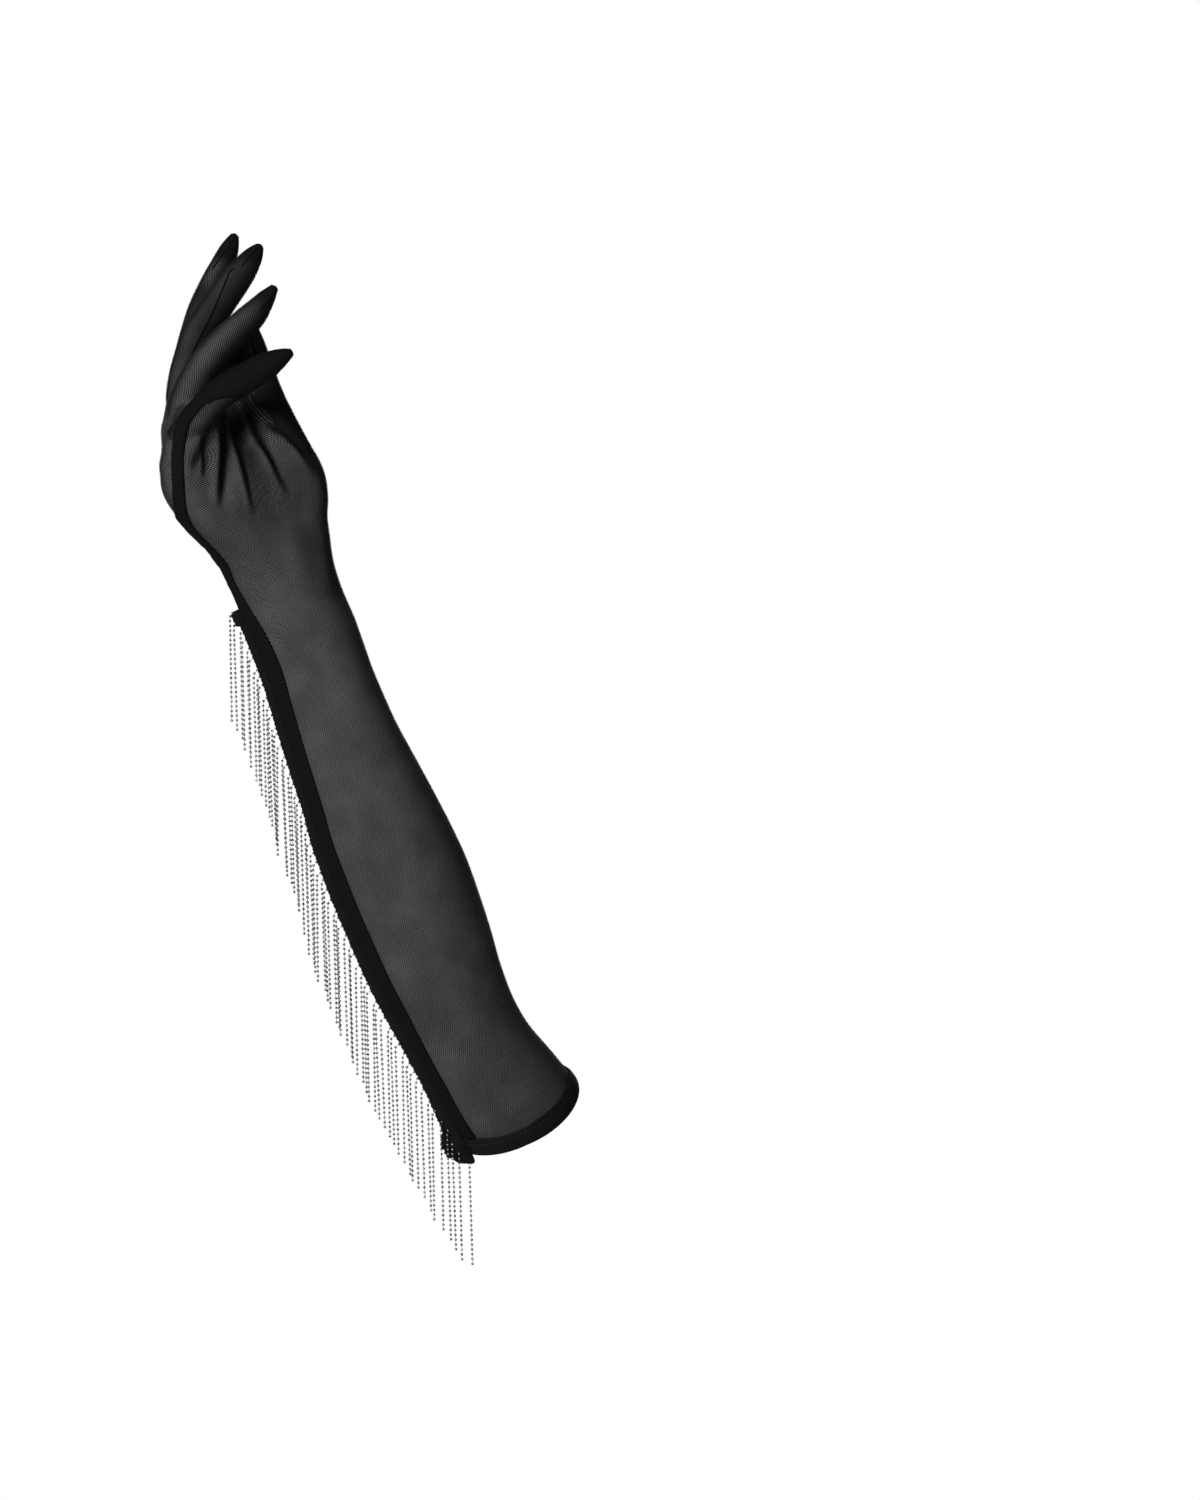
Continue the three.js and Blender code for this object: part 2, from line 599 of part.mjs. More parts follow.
const glove = new THREE.Group();
for (const [name, [solid, material]] of Object.entries(pieces)) {
  const { numProp, vertProperties, triVerts } = solid.getMesh();
  const geometry = new THREE.BufferGeometry();
  const points = Array.from(vertProperties).filter((_, i) => i % numProp < 3);
  geometry.setAttribute('position', new THREE.Float32BufferAttribute(points, 3));
  geometry.setIndex(Array.from(triVerts));
  geometry.computeVertexNormals();
  const mesh = new THREE.Mesh(geometry, material);
  mesh.name = name;
  glove.add(mesh);
}

export default glove;
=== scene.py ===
import math

import bmesh
import bpy
import numpy as np
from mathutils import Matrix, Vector
from mathutils.kdtree import KDTree


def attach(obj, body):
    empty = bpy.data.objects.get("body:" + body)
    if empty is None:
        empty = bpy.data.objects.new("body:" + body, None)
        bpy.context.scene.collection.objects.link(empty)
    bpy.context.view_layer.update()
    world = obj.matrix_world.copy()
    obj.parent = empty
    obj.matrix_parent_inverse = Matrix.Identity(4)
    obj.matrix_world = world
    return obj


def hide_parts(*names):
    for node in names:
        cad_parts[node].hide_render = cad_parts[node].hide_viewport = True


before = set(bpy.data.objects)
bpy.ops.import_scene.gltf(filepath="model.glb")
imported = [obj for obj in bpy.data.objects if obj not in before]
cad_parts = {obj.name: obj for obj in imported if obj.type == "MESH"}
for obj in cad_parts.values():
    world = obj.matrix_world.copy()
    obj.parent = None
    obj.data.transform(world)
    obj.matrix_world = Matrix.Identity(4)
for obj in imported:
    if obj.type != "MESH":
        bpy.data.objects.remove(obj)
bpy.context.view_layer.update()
mm = 0.001
seed = 7
scene = bpy.context.scene

# Camera: a long lens level with the middle of the picture, as the photo was taken.
view = {
    "pictureWidth": 1200, "pictureHeight": 1500,  # pixels of the whole picture
    "pixel": 0.525 * mm,  # real size of a pixel at the glove
    "openingX": 512.3, "openingY": 1110.8,  # pixel where the centre of the opening lies
    "distance": 8.0, "depth": -0.04,
    "sensor": 36.0,
}


def placed(name, data):
    made = bpy.data.objects.new(name, data)
    scene.collection.objects.link(made)
    return made


def makeCamera():
    lens = bpy.data.cameras.new("camera")
    camera = placed("camera", lens)
    x = (view["pictureWidth"] / 2 - view["openingX"]) * view["pixel"]
    z = (view["openingY"] - view["pictureHeight"] / 2) * view["pixel"]
    camera.location = (x, view["depth"] - view["distance"], z)
    camera.rotation_euler = (math.pi / 2, 0, 0)
    lens.sensor_fit = "VERTICAL"
    lens.sensor_height = view["sensor"]
    lens.lens = view["sensor"] * view["distance"] / (view["pictureHeight"] * view["pixel"])
    lens.clip_end = 50
    scene.camera = camera


makeCamera()
print("camera placed")

# Form of the glove: the same sections as the solids have, in millimetres and shares of these sizes.
glove = {
    "sleeveHeight": 268.0, "forearmWidth": 72.0,
    "handHeight": 192.0, "handBreadth": 76.0, "fingerWidth": 17.0,
    "hemDepth": 10.0, "grooveWidth": 0.8,
    "tapeWidth": 12.5, "tapeThickness": 2.0, "tapeLength": 308.0, "tapeTail": 6.0,
    "tabLength": 9.0, "tabThickness": 2.2,
    "strandPitch": 5.3,
}

# rise, out, depth, width, round, slant, tilt, groove, edge
sleeveRows = np.array([
    (0.000, 0.000, 0.000, 1.007, 0.94, 24, 34, 0.24, 0.42),
    (0.052, -0.036, -0.034, 0.968, 0.95, 25, 32, 0.21, 0.38),
    (0.112, -0.072, -0.067, 0.882, 0.96, 27, 29, 0.16, 0.32),
    (0.172, -0.104, -0.093, 0.871, 0.93, 26, 24, 0.15, 0.31),
    (0.243, -0.136, -0.116, 0.908, 0.91, 23, 19, 0.11, 0.32),
    (0.307, -0.161, -0.132, 0.956, 0.89, 21, 15, 0.08, 0.30),
    (0.374, -0.186, -0.146, 0.982, 0.87, 21, 12, 0.07, 0.28),
    (0.443, -0.213, -0.158, 1.000, 0.86, 22, 10, 0.07, 0.27),
    (0.507, -0.240, -0.168, 0.985, 0.85, 22, 8, 0.07, 0.27),
    (0.570, -0.267, -0.176, 0.950, 0.85, 22, 7, 0.07, 0.27),
    (0.638, -0.294, -0.183, 0.886, 0.84, 22, 6, 0.07, 0.28),
    (0.715, -0.327, -0.190, 0.828, 0.83, 22, 5, 0.08, 0.31),
    (0.773, -0.349, -0.194, 0.798, 0.82, 20, 4, 0.08, 0.33),
    (0.832, -0.370, -0.197, 0.772, 0.81, 19, 3, 0.09, 0.35),
    (0.891, -0.390, -0.200, 0.765, 0.80, 19, 3, 0.09, 0.37),
    (0.950, -0.412, -0.202, 0.772, 0.80, 18, 3, 0.07, 0.34),
    (1.000, -0.432, -0.204, 0.775, 0.80, 17, 4, 0.02, 0.25),
])

# rise, out, slant, tilt, groove, edge, then right, far and radius of the three cores; the last row
# lies on the web of the thumb
handRows = np.array([
    (0.082, -0.030, 15, 5, 0.02, 0.16, -0.115, -0.03, 0.278, -0.09, 0.03, 0.275, 0.12, 0.00, 0.262),
    (0.140, -0.047, 10, 6, 0.02, 0.15, -0.135, -0.07, 0.243, -0.12, 0.08, 0.243, 0.158, 0.01, 0.25),
    (0.208, -0.096, 4, 9, 0.02, 0.16, -0.235, -0.145, 0.222, -0.215, 0.16, 0.215, 0.24, 0.05, 0.257),
    (0.273, -0.119, 0, 12, 0.06, 0.21, -0.325, -0.225, 0.208, -0.31, 0.235, 0.20, 0.296, 0.09, 0.26),
    (0.328, -0.131, 0, 15, 0.12, 0.28, -0.356, -0.27, 0.20, -0.345, 0.283, 0.19, 0.316, 0.118, 0.25),
    (0.383, -0.142, 0, 18, 0.14, 0.31, -0.342, -0.296, 0.195, -0.332, 0.31, 0.184, 0.30, 0.13, 0.23),
    (0.437, -0.156, 0, 21, 0.18, 0.37, -0.310, -0.316, 0.186, -0.300, 0.33, 0.178, 0.28, 0.145, 0.17),
    (0.487, -0.194, 0, 24, 0.20, 0.40, -0.222, -0.335, 0.18, -0.210, 0.342, 0.171, 0.32, 0.15, 0.13),
    (0.530, -0.230, 0, 27, 0.22, 0.45, -0.11, -0.348, 0.150, -0.105, 0.352, 0.150, 0.36, 0.16, 0.11),
    (0.566, -0.250, 0, 28, 0.25, 0.50, -0.06, -0.345, 0.105, -0.055, 0.348, 0.105, 0.36, 0.16, 0.075),
    (0.632, -0.230, 0, 30, 0.25, 0.50, 0.10, 0.05, 0.08, -0.04, 0.34, 0.09, 0.25, 0.20, 0.08),
])

# out, rise, depth, girth; the tips are a little rounder than in the solids
digitRows = {
    "littleFinger": np.array([
        (-0.287, 0.394, -0.115, 1.24), (-0.284, 0.448, -0.130, 1.13), (-0.243, 0.500, -0.146, 0.95),
        (-0.194, 0.552, -0.167, 0.90), (-0.123, 0.596, -0.193, 0.88), (-0.060, 0.634, -0.216, 0.74),
        (-0.016, 0.659, -0.232, 0.46), (0.007, 0.670, -0.240, 0.20)]),
    "ringFinger": np.array([
        (-0.290, 0.459, -0.031, 1.24), (-0.282, 0.541, -0.044, 1.13), (-0.238, 0.634, -0.062, 1.05),
        (-0.178, 0.703, -0.086, 1.02), (-0.137, 0.741, -0.102, 0.96), (-0.098, 0.779, -0.115, 0.85),
        (-0.066, 0.819, -0.128, 0.58), (-0.042, 0.850, -0.135, 0.26)]),
    "middleFinger": np.array([
        (-0.293, 0.525, 0.042, 1.24), (-0.287, 0.618, 0.039, 1.08), (-0.254, 0.722, 0.026, 1.02),
        (-0.211, 0.788, 0.010, 1.01), (-0.153, 0.870, -0.013, 0.96), (-0.126, 0.906, -0.023, 0.85),
        (-0.101, 0.941, -0.031, 0.60), (-0.085, 0.965, -0.036, 0.28)]),
    "indexFinger": np.array([
        (-0.293, 0.544, 0.125, 1.24), (-0.288, 0.623, 0.125, 1.06), (-0.268, 0.712, 0.120, 0.99),
        (-0.246, 0.788, 0.112, 0.96), (-0.216, 0.856, 0.099, 0.92), (-0.193, 0.908, 0.091, 0.80),
        (-0.170, 0.963, 0.086, 0.58), (-0.156, 0.998, 0.083, 0.28)]),
    "thumb": np.array([
        (-0.003, 0.273, 0.042, 1.88), (0.010, 0.366, 0.052, 1.44), (-0.027, 0.454, 0.057, 1.27),
        (-0.064, 0.539, 0.057, 1.15), (-0.094, 0.623, 0.052, 1.08), (-0.113, 0.697, 0.044, 0.94),
        (-0.119, 0.749, 0.039, 0.60), (-0.116, 0.788, 0.036, 0.18)]),
}

# The band over the little finger: place on the finger, then its two edges in degrees round it.
littleFingerBand = np.array([
    (0.0, -40, 8), (1, -45, 8), (1.5, -60, 2), (2, -88, -13), (2.5, -95, -10), (3, -100, 5),
    (4, -110, 60), (5, -120, 80), (6, -125, 85), (7, -130, 90)])

# The hollow between the fingers and the thumb: ends as shares of the hand's height, then its
# half width and depth as shares of the hand's breadth.
palmHollow = {"start": (-0.150, 0.600), "end": (-0.080, 0.480), "spread": 0.340, "sink": 0.170,
              "sideFade": 3}  # how fast it fades out towards the outline
stretch = {"ways": 121, "turn": 81}  # ways tried for the cloth over the cores, within these degrees


def catmull(values, place):
    # one smooth value for each place, counted in rows
    last = len(values) - 1
    i = np.clip(np.floor(place).astype(int), 0, last - 1)
    t = (place - i).reshape((-1,) + (1,) * (values.ndim - 1))
    a, b, c, d = (values[np.clip(i + k, 0, last)] for k in (-1, 0, 1, 2))
    t2, t3 = t * t, t * t * t
    return (2*t3 - 3*t2 + 1)*b + (t3 - 2*t2 + t)*(c - a)/2 + (3*t2 - 2*t3)*c + (t3 - t2)*(d - b)/2


def makeBodyTable():
    height, hand = glove["sleeveHeight"], glove["handHeight"]
    centres, angles, shares, cores = [], [], [], []
    for rise, out, depth, width, roundness, slant, tilt, groove, edge in sleeveRows:
        half = width * glove["forearmWidth"] / 2
        radius = half * roundness
        centres.append(np.array([out, depth, rise]) * height)
        angles.append((slant, tilt))
        shares.append((groove, edge))
        cores.append([(radius - half, 0, radius), (radius - half, 0, radius), (half - radius, 0, radius)])
    wrist = centres[-1]
    for rise, out, slant, tilt, groove, edge, *spots in handRows:
        centres.append(wrist + np.array([out, 0, rise]) * hand)
        angles.append((slant, tilt))
        shares.append((groove, edge))
        cores.append(np.array(spots).reshape(3, 3) * glove["handBreadth"])
    return {"centre": np.array(centres), "angle": np.radians(np.array(angles, float)),
            "share": np.array(shares), "core": np.array(cores, float), "wrist": wrist}


body = makeBodyTable()
wristPlace = len(sleeveRows) - 1
knucklePlace = len(body["centre"]) - 1


def sectionAt(place):
    slant, tilt = catmull(body["angle"], place).T
    zero = np.zeros_like(slant)
    right = np.stack([np.cos(slant), zero, np.sin(slant)], 1)
    up = np.stack([-np.sin(slant), zero, np.cos(slant)], 1)
    far = up * np.sin(tilt)[:, None]
    far[:, 1] += np.cos(tilt)
    return catmull(body["centre"], place), right, far, catmull(body["core"], place)


def reachOf(cores, angle, offset):
    # distance from the centre to the cloth stretched over the three cores
    steps = np.linspace(-1, 1, stretch["ways"]) * math.radians(stretch["turn"])
    facing = angle[:, None] + steps
    c, s = np.cos(facing), np.sin(facing)
    support = np.max([cores[:, k, 0, None] * c + cores[:, k, 1, None] * s + cores[:, k, 2, None]
                      for k in range(3)], axis=0)
    return np.min((support + np.reshape(offset, (-1, 1))) / np.cos(steps), axis=1)


def smoothStep(x):
    x = np.clip(x, 0, 1)
    return x * x * (3 - 2 * x)


def hollowSink(points):
    spot = (points - body["wrist"])[:, [0, 2]]
    start = np.array(palmHollow["start"]) * glove["handHeight"]
    run = np.array(palmHollow["end"]) * glove["handHeight"] - start
    share = np.clip((spot - start) @ run / (run @ run), 0, 1)
    away = np.linalg.norm(spot - start - share[:, None] * run, axis=1)
    away = away / (palmHollow["spread"] * glove["handBreadth"])
    return palmHollow["sink"] * glove["handBreadth"] * (1 - smoothStep(away))


def skin(place, angle, offset=0.0):
    # points of the sleeve and hand, each at a place, an angle and a distance out of the cloth
    place = np.asarray(place, float)
    angle = np.broadcast_to(np.asarray(angle, float), place.shape)
    offset = np.broadcast_to(np.asarray(offset, float), place.shape)
    centre, right, far, cores = sectionAt(np.clip(place, 0, knucklePlace))
    ways = right * np.cos(angle)[:, None] + far * np.sin(angle)[:, None]
    reach = reachOf(cores, angle, offset)
    nearSide = np.clip(-palmHollow["sideFade"] * np.sin(angle), 0, 1) * (place > wristPlace)
    reach = reach - hollowSink(centre + ways * reach[:, None]) * nearSide
    return centre + ways * reach[:, None]


def digitSkin(rows, place, angle, offset=0.0):
    # points of a digit: angle 0 is its near side
    step, leastShare = 0.05, 0.2  # reach to both sides for its direction, and least share of its girth
    place = np.asarray(place, float)
    last = len(rows) - 1
    at = lambda p: catmull(rows[:, [0, 2, 1]], np.clip(p, 0, last)) * glove["handHeight"] + body["wrist"]
    along = at(place + step) - at(place - step)
    along /= np.linalg.norm(along, axis=1)[:, None]
    near = np.array([0.0, -1.0, 0.0]) + along * along[:, 1:2]
    near /= np.linalg.norm(near, axis=1)[:, None]
    side = np.cross(along, near)
    radius = catmull(rows[:, 3:4], place)[:, 0] * glove["fingerWidth"] / 2
    radius = np.maximum(radius + offset, radius * leastShare)[:, None]
    return at(place) + near * radius * np.cos(angle)[:, None] + side * radius * np.sin(angle)[:, None]


mouthCentre, mouthRight, mouthFar, _ = (v[0] for v in sectionAt(np.array([0.0])))
mouthNormal = np.cross(mouthFar, mouthRight)
mouthNormal /= np.linalg.norm(mouthNormal)


def grid(placeCount, angleCount, placeEnd):
    places = np.repeat(np.linspace(0, placeEnd, placeCount), angleCount)
    angles = np.tile(np.arange(angleCount) * 2 * math.pi / angleCount, placeCount)
    return places, angles


def gridFaces(rows, columns, base=0, rowsMeet=False, columnsMeet=True):
    # faces over rows of points; the first and last rows or columns may meet
    faces = []
    for r in range(rows if rowsMeet else rows - 1):
        here, above = base + r * columns, base + (r + 1) % rows * columns
        for i in range(columns if columnsMeet else columns - 1):
            j = (i + 1) % columns
            faces.append((here + i, here + j, above + j, above + i))
    return faces


def newObject(name, points, faces):
    mesh = bpy.data.meshes.new(name)
    mesh.from_pydata([tuple(p) for p in points * mm], [], faces)
    mesh.validate()
    mesh.shade_smooth()
    return placed(name, mesh)


def outwards(made):
    # makes the faces of a closed mesh point outwards
    shape = bmesh.new()
    shape.from_mesh(made.data)
    bmesh.ops.recalc_face_normals(shape, faces=shape.faces)
    shape.to_mesh(made.data)
    shape.free()


def settled(made):
    # swaps an object's mesh for what its modifiers make of it
    bpy.context.view_layer.update()
    mesh = bpy.data.meshes.new_from_object(made.evaluated_get(bpy.context.evaluated_depsgraph_get()))
    made.modifiers.clear()
    old = made.data
    made.data = mesh
    bpy.data.meshes.remove(old)
    return made


def meshPoints(mesh):
    co = np.empty(len(mesh.vertices) * 3, np.float32)
    mesh.vertices.foreach_get("co", co)
    return co.reshape(-1, 3).astype(float) / mm


def setMeshPoints(mesh, points):
    mesh.vertices.foreach_set("co", (points * mm).astype(np.float32).ravel())
    mesh.update()


def meshNormals(mesh):
    no = np.empty(len(mesh.vertices) * 3, np.float32)
    mesh.vertex_normals.foreach_get("vector", no)
    return no.reshape(-1, 3).astype(float)


def setAttribute(mesh, name, values):
    made = mesh.attributes.new(name, "FLOAT", "POINT")
    made.data.foreach_set("value", np.asarray(values, np.float32))


# The dense form: sleeve, hand and digits joined and remeshed into one skin.
dense = {
    "rings": 260, "sides": 120,  # of sleeve and hand
    "digitRings": 80, "digitSides": 36,
    "voxel": 1.25,  # millimetres
    "mouthTail": 6.0,  # how far the skin runs past the opening before it is cut there
    "settle": 2.6,  # millimetres from a neighbour's skin over which the two are blended
    "rootFade": 0.6, "rootAway": 4.0,  # digits hold no cloth near their roots inside the hand
    "relax": 8, "pull": 0.6,  # rounds of smoothing where skins meet, and how far each moves a vertex
    "wristRelax": 90,  # rounds over the wrist, then how far they reach below and above it, in rows
    "wristBelow": 1.5, "wristAbove": 3.5, "wristFade": 1.6,
    "capRings": 5,
    "wall": 0.34,  # thickness of the net's yarn
}


def digitTip(rows):
    last = len(rows) - 1
    a, b = catmull(rows[:, [0, 2, 1]], np.array([last - 0.1, last])) * glove["handHeight"] + body["wrist"]
    return b, (b - a) / np.linalg.norm(b - a), rows[-1, 3] * glove["fingerWidth"] / 2


def makeDenseForm():
    points, faces = [], []

    def addTube(ringPoints, sides):
        base, rings = sum(len(p) for p in points), len(ringPoints) // sides
        faces.extend(gridFaces(rings, sides, base))
        faces.append(tuple(base + i for i in reversed(range(sides))))
        faces.append(tuple(base + (rings - 1) * sides + i for i in range(sides)))
        points.append(ringPoints)

    places, angles = grid(dense["rings"], dense["sides"], knucklePlace)
    shape = skin(places, angles)
    tail = shape[:dense["sides"]] + mouthNormal * dense["mouthTail"]
    addTube(np.vstack([tail, shape]), dense["sides"])
    for rows in digitRows.values():
        places, angles = grid(dense["digitRings"], dense["digitSides"], len(rows) - 1)
        shape = digitSkin(rows, places, angles)
        tip, along, radius = digitTip(rows)
        cap = []
        for turn in np.linspace(0, math.pi / 2, dense["capRings"])[1:-1]:  # a round end
            ringPoints = shape[-dense["digitSides"]:]
            cap.append(tip + (ringPoints - tip) * math.cos(turn) + along * radius * math.sin(turn))
        addTube(np.vstack([shape] + cap), dense["digitSides"])
    made = newObject("mesh_glove_cloth", np.vstack(points), faces)
    outwards(made)
    remesh = made.modifiers.new("remesh", "REMESH")
    remesh.mode = "VOXEL"
    remesh.voxel_size = dense["voxel"] * mm
    settled(made)
    shape = bmesh.new()
    shape.from_mesh(made.data)
    everything = shape.verts[:] + shape.edges[:] + shape.faces[:]
    bmesh.ops.bisect_plane(shape, geom=everything, plane_co=Vector(mouthCentre * mm),
                           plane_no=Vector(mouthNormal), clear_outer=True)
    shape.to_mesh(made.data)
    shape.free()
    return made


def treeOf(points):
    tree = KDTree(len(points))
    for i, p in enumerate(points):
        tree.insert(p, i)
    tree.balance()
    return tree


class Surface:
    # a smooth skin given by a function of place and angle, and the way back from a point to them

    def __init__(self, shape, places, angles, placeEnd):
        self.shape, self.placeEnd = shape, placeEnd
        self.places, self.angles = places, angles
        self.points = shape(places, angles)
        self.tree = treeOf(self.points)
        step = 0.01
        self.alongPlace = (shape(np.minimum(places + step, placeEnd), angles)
                           - shape(np.maximum(places - step, 0), angles)) / (2 * step)
        self.alongAngle = (shape(places, angles + step) - shape(places, angles - step)) / (2 * step)

    def find(self, points):
        # place, angle and distance of the nearest spot on the skin
        near = np.array([self.tree.find(p)[1] for p in points])
        away = points - self.points[near]
        a, b = self.alongPlace[near], self.alongAngle[near]
        aa, bb, ab = (a * a).sum(1), (b * b).sum(1), (a * b).sum(1)
        ga, gb = (away * a).sum(1), (away * b).sum(1)
        det = np.maximum(aa * bb - ab * ab, 1e-6)
        place = np.clip(self.places[near] + (ga * bb - gb * ab) / det, 0, self.placeEnd)
        angle = self.angles[near] + (gb * aa - ga * ab) / det
        spot = self.shape(place, angle)
        return place, angle, np.linalg.norm(points - spot, axis=1), spot


def makeSurfaces():
    made = {"body": Surface(skin, *grid(dense["rings"], dense["sides"], knucklePlace), knucklePlace)}
    for name, rows in digitRows.items():
        shape = lambda p, a, rows=rows: digitSkin(rows, p, a)
        made[name] = Surface(shape, *grid(dense["digitRings"], dense["digitSides"], len(rows) - 1),
                             len(rows) - 1)
    return made


def relaxed(mesh, points, share, rounds):
    # draws each vertex towards the middle of its neighbours as far as its share says
    ends = np.empty(len(mesh.edges) * 2, int)
    mesh.edges.foreach_get("vertices", ends)
    here, there = ends.reshape(-1, 2).T
    here, there = np.concatenate([here, there]), np.concatenate([there, here])
    counts = np.maximum(np.bincount(here, minlength=len(points)), 1)
    for _ in range(rounds):
        middle = np.stack([np.bincount(here, points[there, k], len(points)) for k in range(3)], 1)
        points = points + share * dense["pull"] * (middle / counts[:, None] - points)
    return points


def settleOn(made, surfaces):
    # moves each vertex of the remeshed form onto the exact skin, and smooths where two skins meet
    points = meshPoints(made.data)
    found = {name: surface.find(points) for name, surface in surfaces.items()}
    names = list(found)
    distance = np.array([found[name][2] for name in names])
    for k, name in enumerate(names):
        if name != "body":
            distance[k] += dense["rootAway"] * (1 - smoothStep(found[name][0] / dense["rootFade"]))
    order = np.argsort(distance, axis=0)
    first, second = order[0], order[1]
    across = np.arange(len(points))
    spots = np.array([found[name][3] for name in names])[first, across]
    apart = distance[second, across] - distance[first, across]
    hold = smoothStep(apart / dense["settle"])[:, None]
    hold = hold * (distance[first, across] < dense["voxel"])[:, None]
    points = points * (1 - hold) + spots * hold
    points = relaxed(made.data, points, 1 - hold, dense["relax"])
    past = found["body"][0] - wristPlace
    fade = dense["wristFade"]
    share = smoothStep(past / dense["wristBelow"] + 1) * smoothStep(fade - fade * past / dense["wristAbove"])
    share = share * (first == names.index("body"))
    setMeshPoints(made.data, relaxed(made.data, points, share[:, None], dense["wristRelax"]))
    return found, names, first


clothForm = makeDenseForm()
surfaces = makeSurfaces()
found, partNames, partOf = settleOn(clothForm, surfaces)
smoothPoints, smoothNormals = meshPoints(clothForm.data), meshNormals(clothForm.data)
print("skin made:", len(clothForm.data.polygons), "faces")

# Creases of the palm, drawn in by the bent little finger and thumb. Points run down each crease: out
# and rise as shares of the hand's height from the wrist. Depth, and the widths of the steep left
# flank and of the soft right one, are in millimetres.
creases = {
    "underLittleFinger": {"points": [(-0.183, 0.499), (-0.177, 0.411), (-0.181, 0.318), (-0.184, 0.239)],
                          "depth": 3.2, "steep": 1.7, "soft": 4.6},
    "middle": {"points": [(-0.161, 0.507), (-0.142, 0.433), (-0.114, 0.329), (-0.090, 0.222)],
               "depth": 2.4, "steep": 1.4, "soft": 5.5},
    "thumbSide": {"points": [(-0.125, 0.537), (-0.092, 0.455), (-0.049, 0.389), (0.005, 0.269)],
                  "depth": 2.6, "steep": 1.5, "soft": 5.5},
    "left": {"points": [(-0.232, 0.449), (-0.229, 0.384), (-0.232, 0.324)],
             "depth": 1.1, "steep": 1.1, "soft": 3.2},
    "farLeft": {"points": [(-0.215, 0.460), (-0.240, 0.405), (-0.270, 0.345)],
                "depth": 1.0, "steep": 2.0, "soft": 3.2},
    "thumbRoot": {"points": [(-0.081, 0.488), (-0.018, 0.458), (0.031, 0.411), (0.083, 0.335)],
                  "depth": 1.4, "steep": 1.6, "soft": 4.5},
    "underRingFinger": {"points": [(-0.112, 0.545), (-0.068, 0.537), (-0.023, 0.523), (0.006, 0.482)],
                        "depth": 1.6, "steep": 1.6, "soft": 3.5},
}

# What all creases share; widths count in the crease's own steep width.
folding = {
    "samples": 60, "fadeIn": 0.25, "fadeOut": 0.35,  # points along a crease, and the shares where it fades
    "swell": 0.45, "swellAway": 2.4, "swellWidth": 1.3,  # the cloth heaped beside the steep flank
    "core": 0.75, "coreAway": 0.3, "coreWidth": 1.5,  # painted shade along the bottom of the crease
    "side": 0.1, "sideFade": 0.5,  # creases fade out where the skin turns away from the viewer
    "thumbEnd": 2.4,  # place on the thumb where they stop
}

# Knuckles and the wrist bone on the left outline: out and rise as above, then spread and height in
# millimetres.
knuckles = [(-0.355, 0.471, 4.0, 0.6), (-0.349, 0.419, 3.4, -0.7), (-0.355, 0.367, 4.6, 0.7),
            (-0.207, 0.116, 9.0, 3.4), (-0.158, 0.009, 8.0, -1.0)]


def creaseParts(crease, spots):
    # how deep each spot lies in a crease, and how much painted shade lies along its bottom, both 0 to 1
    points = np.array(crease["points"]) * glove["handHeight"]
    line = catmull(points, np.linspace(0, len(points) - 1, folding["samples"]))
    tree = treeOf([(x, 0, z) for x, z in line])
    near = np.array([tree.find((p[0], 0, p[1]))[1] for p in spots])
    way = np.gradient(line, axis=0)[near]
    away = spots - line[near]
    side = (way[:, 1] * away[:, 0] - way[:, 0] * away[:, 1]) / np.linalg.norm(way, axis=1)
    side = np.where(way[:, 1] < 0, -side, side)  # positive to the right of the crease
    distance = np.linalg.norm(away, axis=1) * np.sign(side)
    share = near / (len(line) - 1)
    fade = smoothStep(share / folding["fadeIn"]) * smoothStep((1 - share) / folding["fadeOut"])
    width = np.where(distance < 0, crease["steep"], crease["soft"])
    sink = np.exp(-(distance / width) ** 2)
    heap = (distance + folding["swellAway"] * crease["steep"]) / (folding["swellWidth"] * crease["steep"])
    swell = folding["swell"] * np.exp(-heap ** 2)
    fine = crease["steep"] * (folding["coreWidth"] - share)
    gathered = folding["core"] * np.exp(-((distance + folding["coreAway"] * fine) / fine) ** 2)
    return (sink - swell) * fade, gathered * fade


def crumple(made):
    points, normals = meshPoints(made.data), meshNormals(made.data)
    spots = (points - body["wrist"])[:, [0, 2]]
    onBody = partOf == partNames.index("body")
    place = found["body"][0]
    reachable = (normals[:, 1] < folding["side"]) & (place > wristPlace) & (spots[:, 1] > 0)
    thumb = (partOf == partNames.index("thumb")) & (found["thumb"][0] < folding["thumbEnd"])
    chosen = np.flatnonzero(reachable & (onBody | thumb))
    move, gathered = np.zeros(len(points)), np.zeros(len(points))
    facing = smoothStep((folding["side"] - normals[chosen, 1]) / folding["sideFade"])
    for crease in creases.values():
        sink, fold = creaseParts(crease, spots[chosen])
        move[chosen] -= crease["depth"] * sink * facing
        gathered[chosen] = np.maximum(gathered[chosen], fold * facing)
    left = smoothStep(-normals[:, 0])
    for out, rise, spread, height in knuckles:
        away = np.linalg.norm(spots - np.array([out, rise]) * glove["handHeight"], axis=1)
        move += height * np.exp(-(away / spread) ** 2) * left
    setMeshPoints(made.data, points + normals * move[:, None])
    # painted shade along the crease bottoms: there the net's material turns the yarn near black and closes
    # the openings
    setAttribute(made.data, "gathered", gathered)


crumple(clothForm)
print("creases made")

# Cloth that is doubled and opaque: from these places on each digit to its tip.
covered = {"littleFinger": (3.1, 4.1), "ringFinger": (5.5, 6.4), "middleFinger": (5.3, 6.3),
           "indexFinger": (5.2, 6.2), "thumb": (5.2, 6.2)}


def markCover(made):
    cover = np.zeros(len(made.data.vertices))
    for name, (start, full) in covered.items():
        mine = partOf == partNames.index(name)
        cover[mine] = smoothStep((found[name][0][mine] - start) / (full - start))
    setAttribute(made.data, "cover", cover)


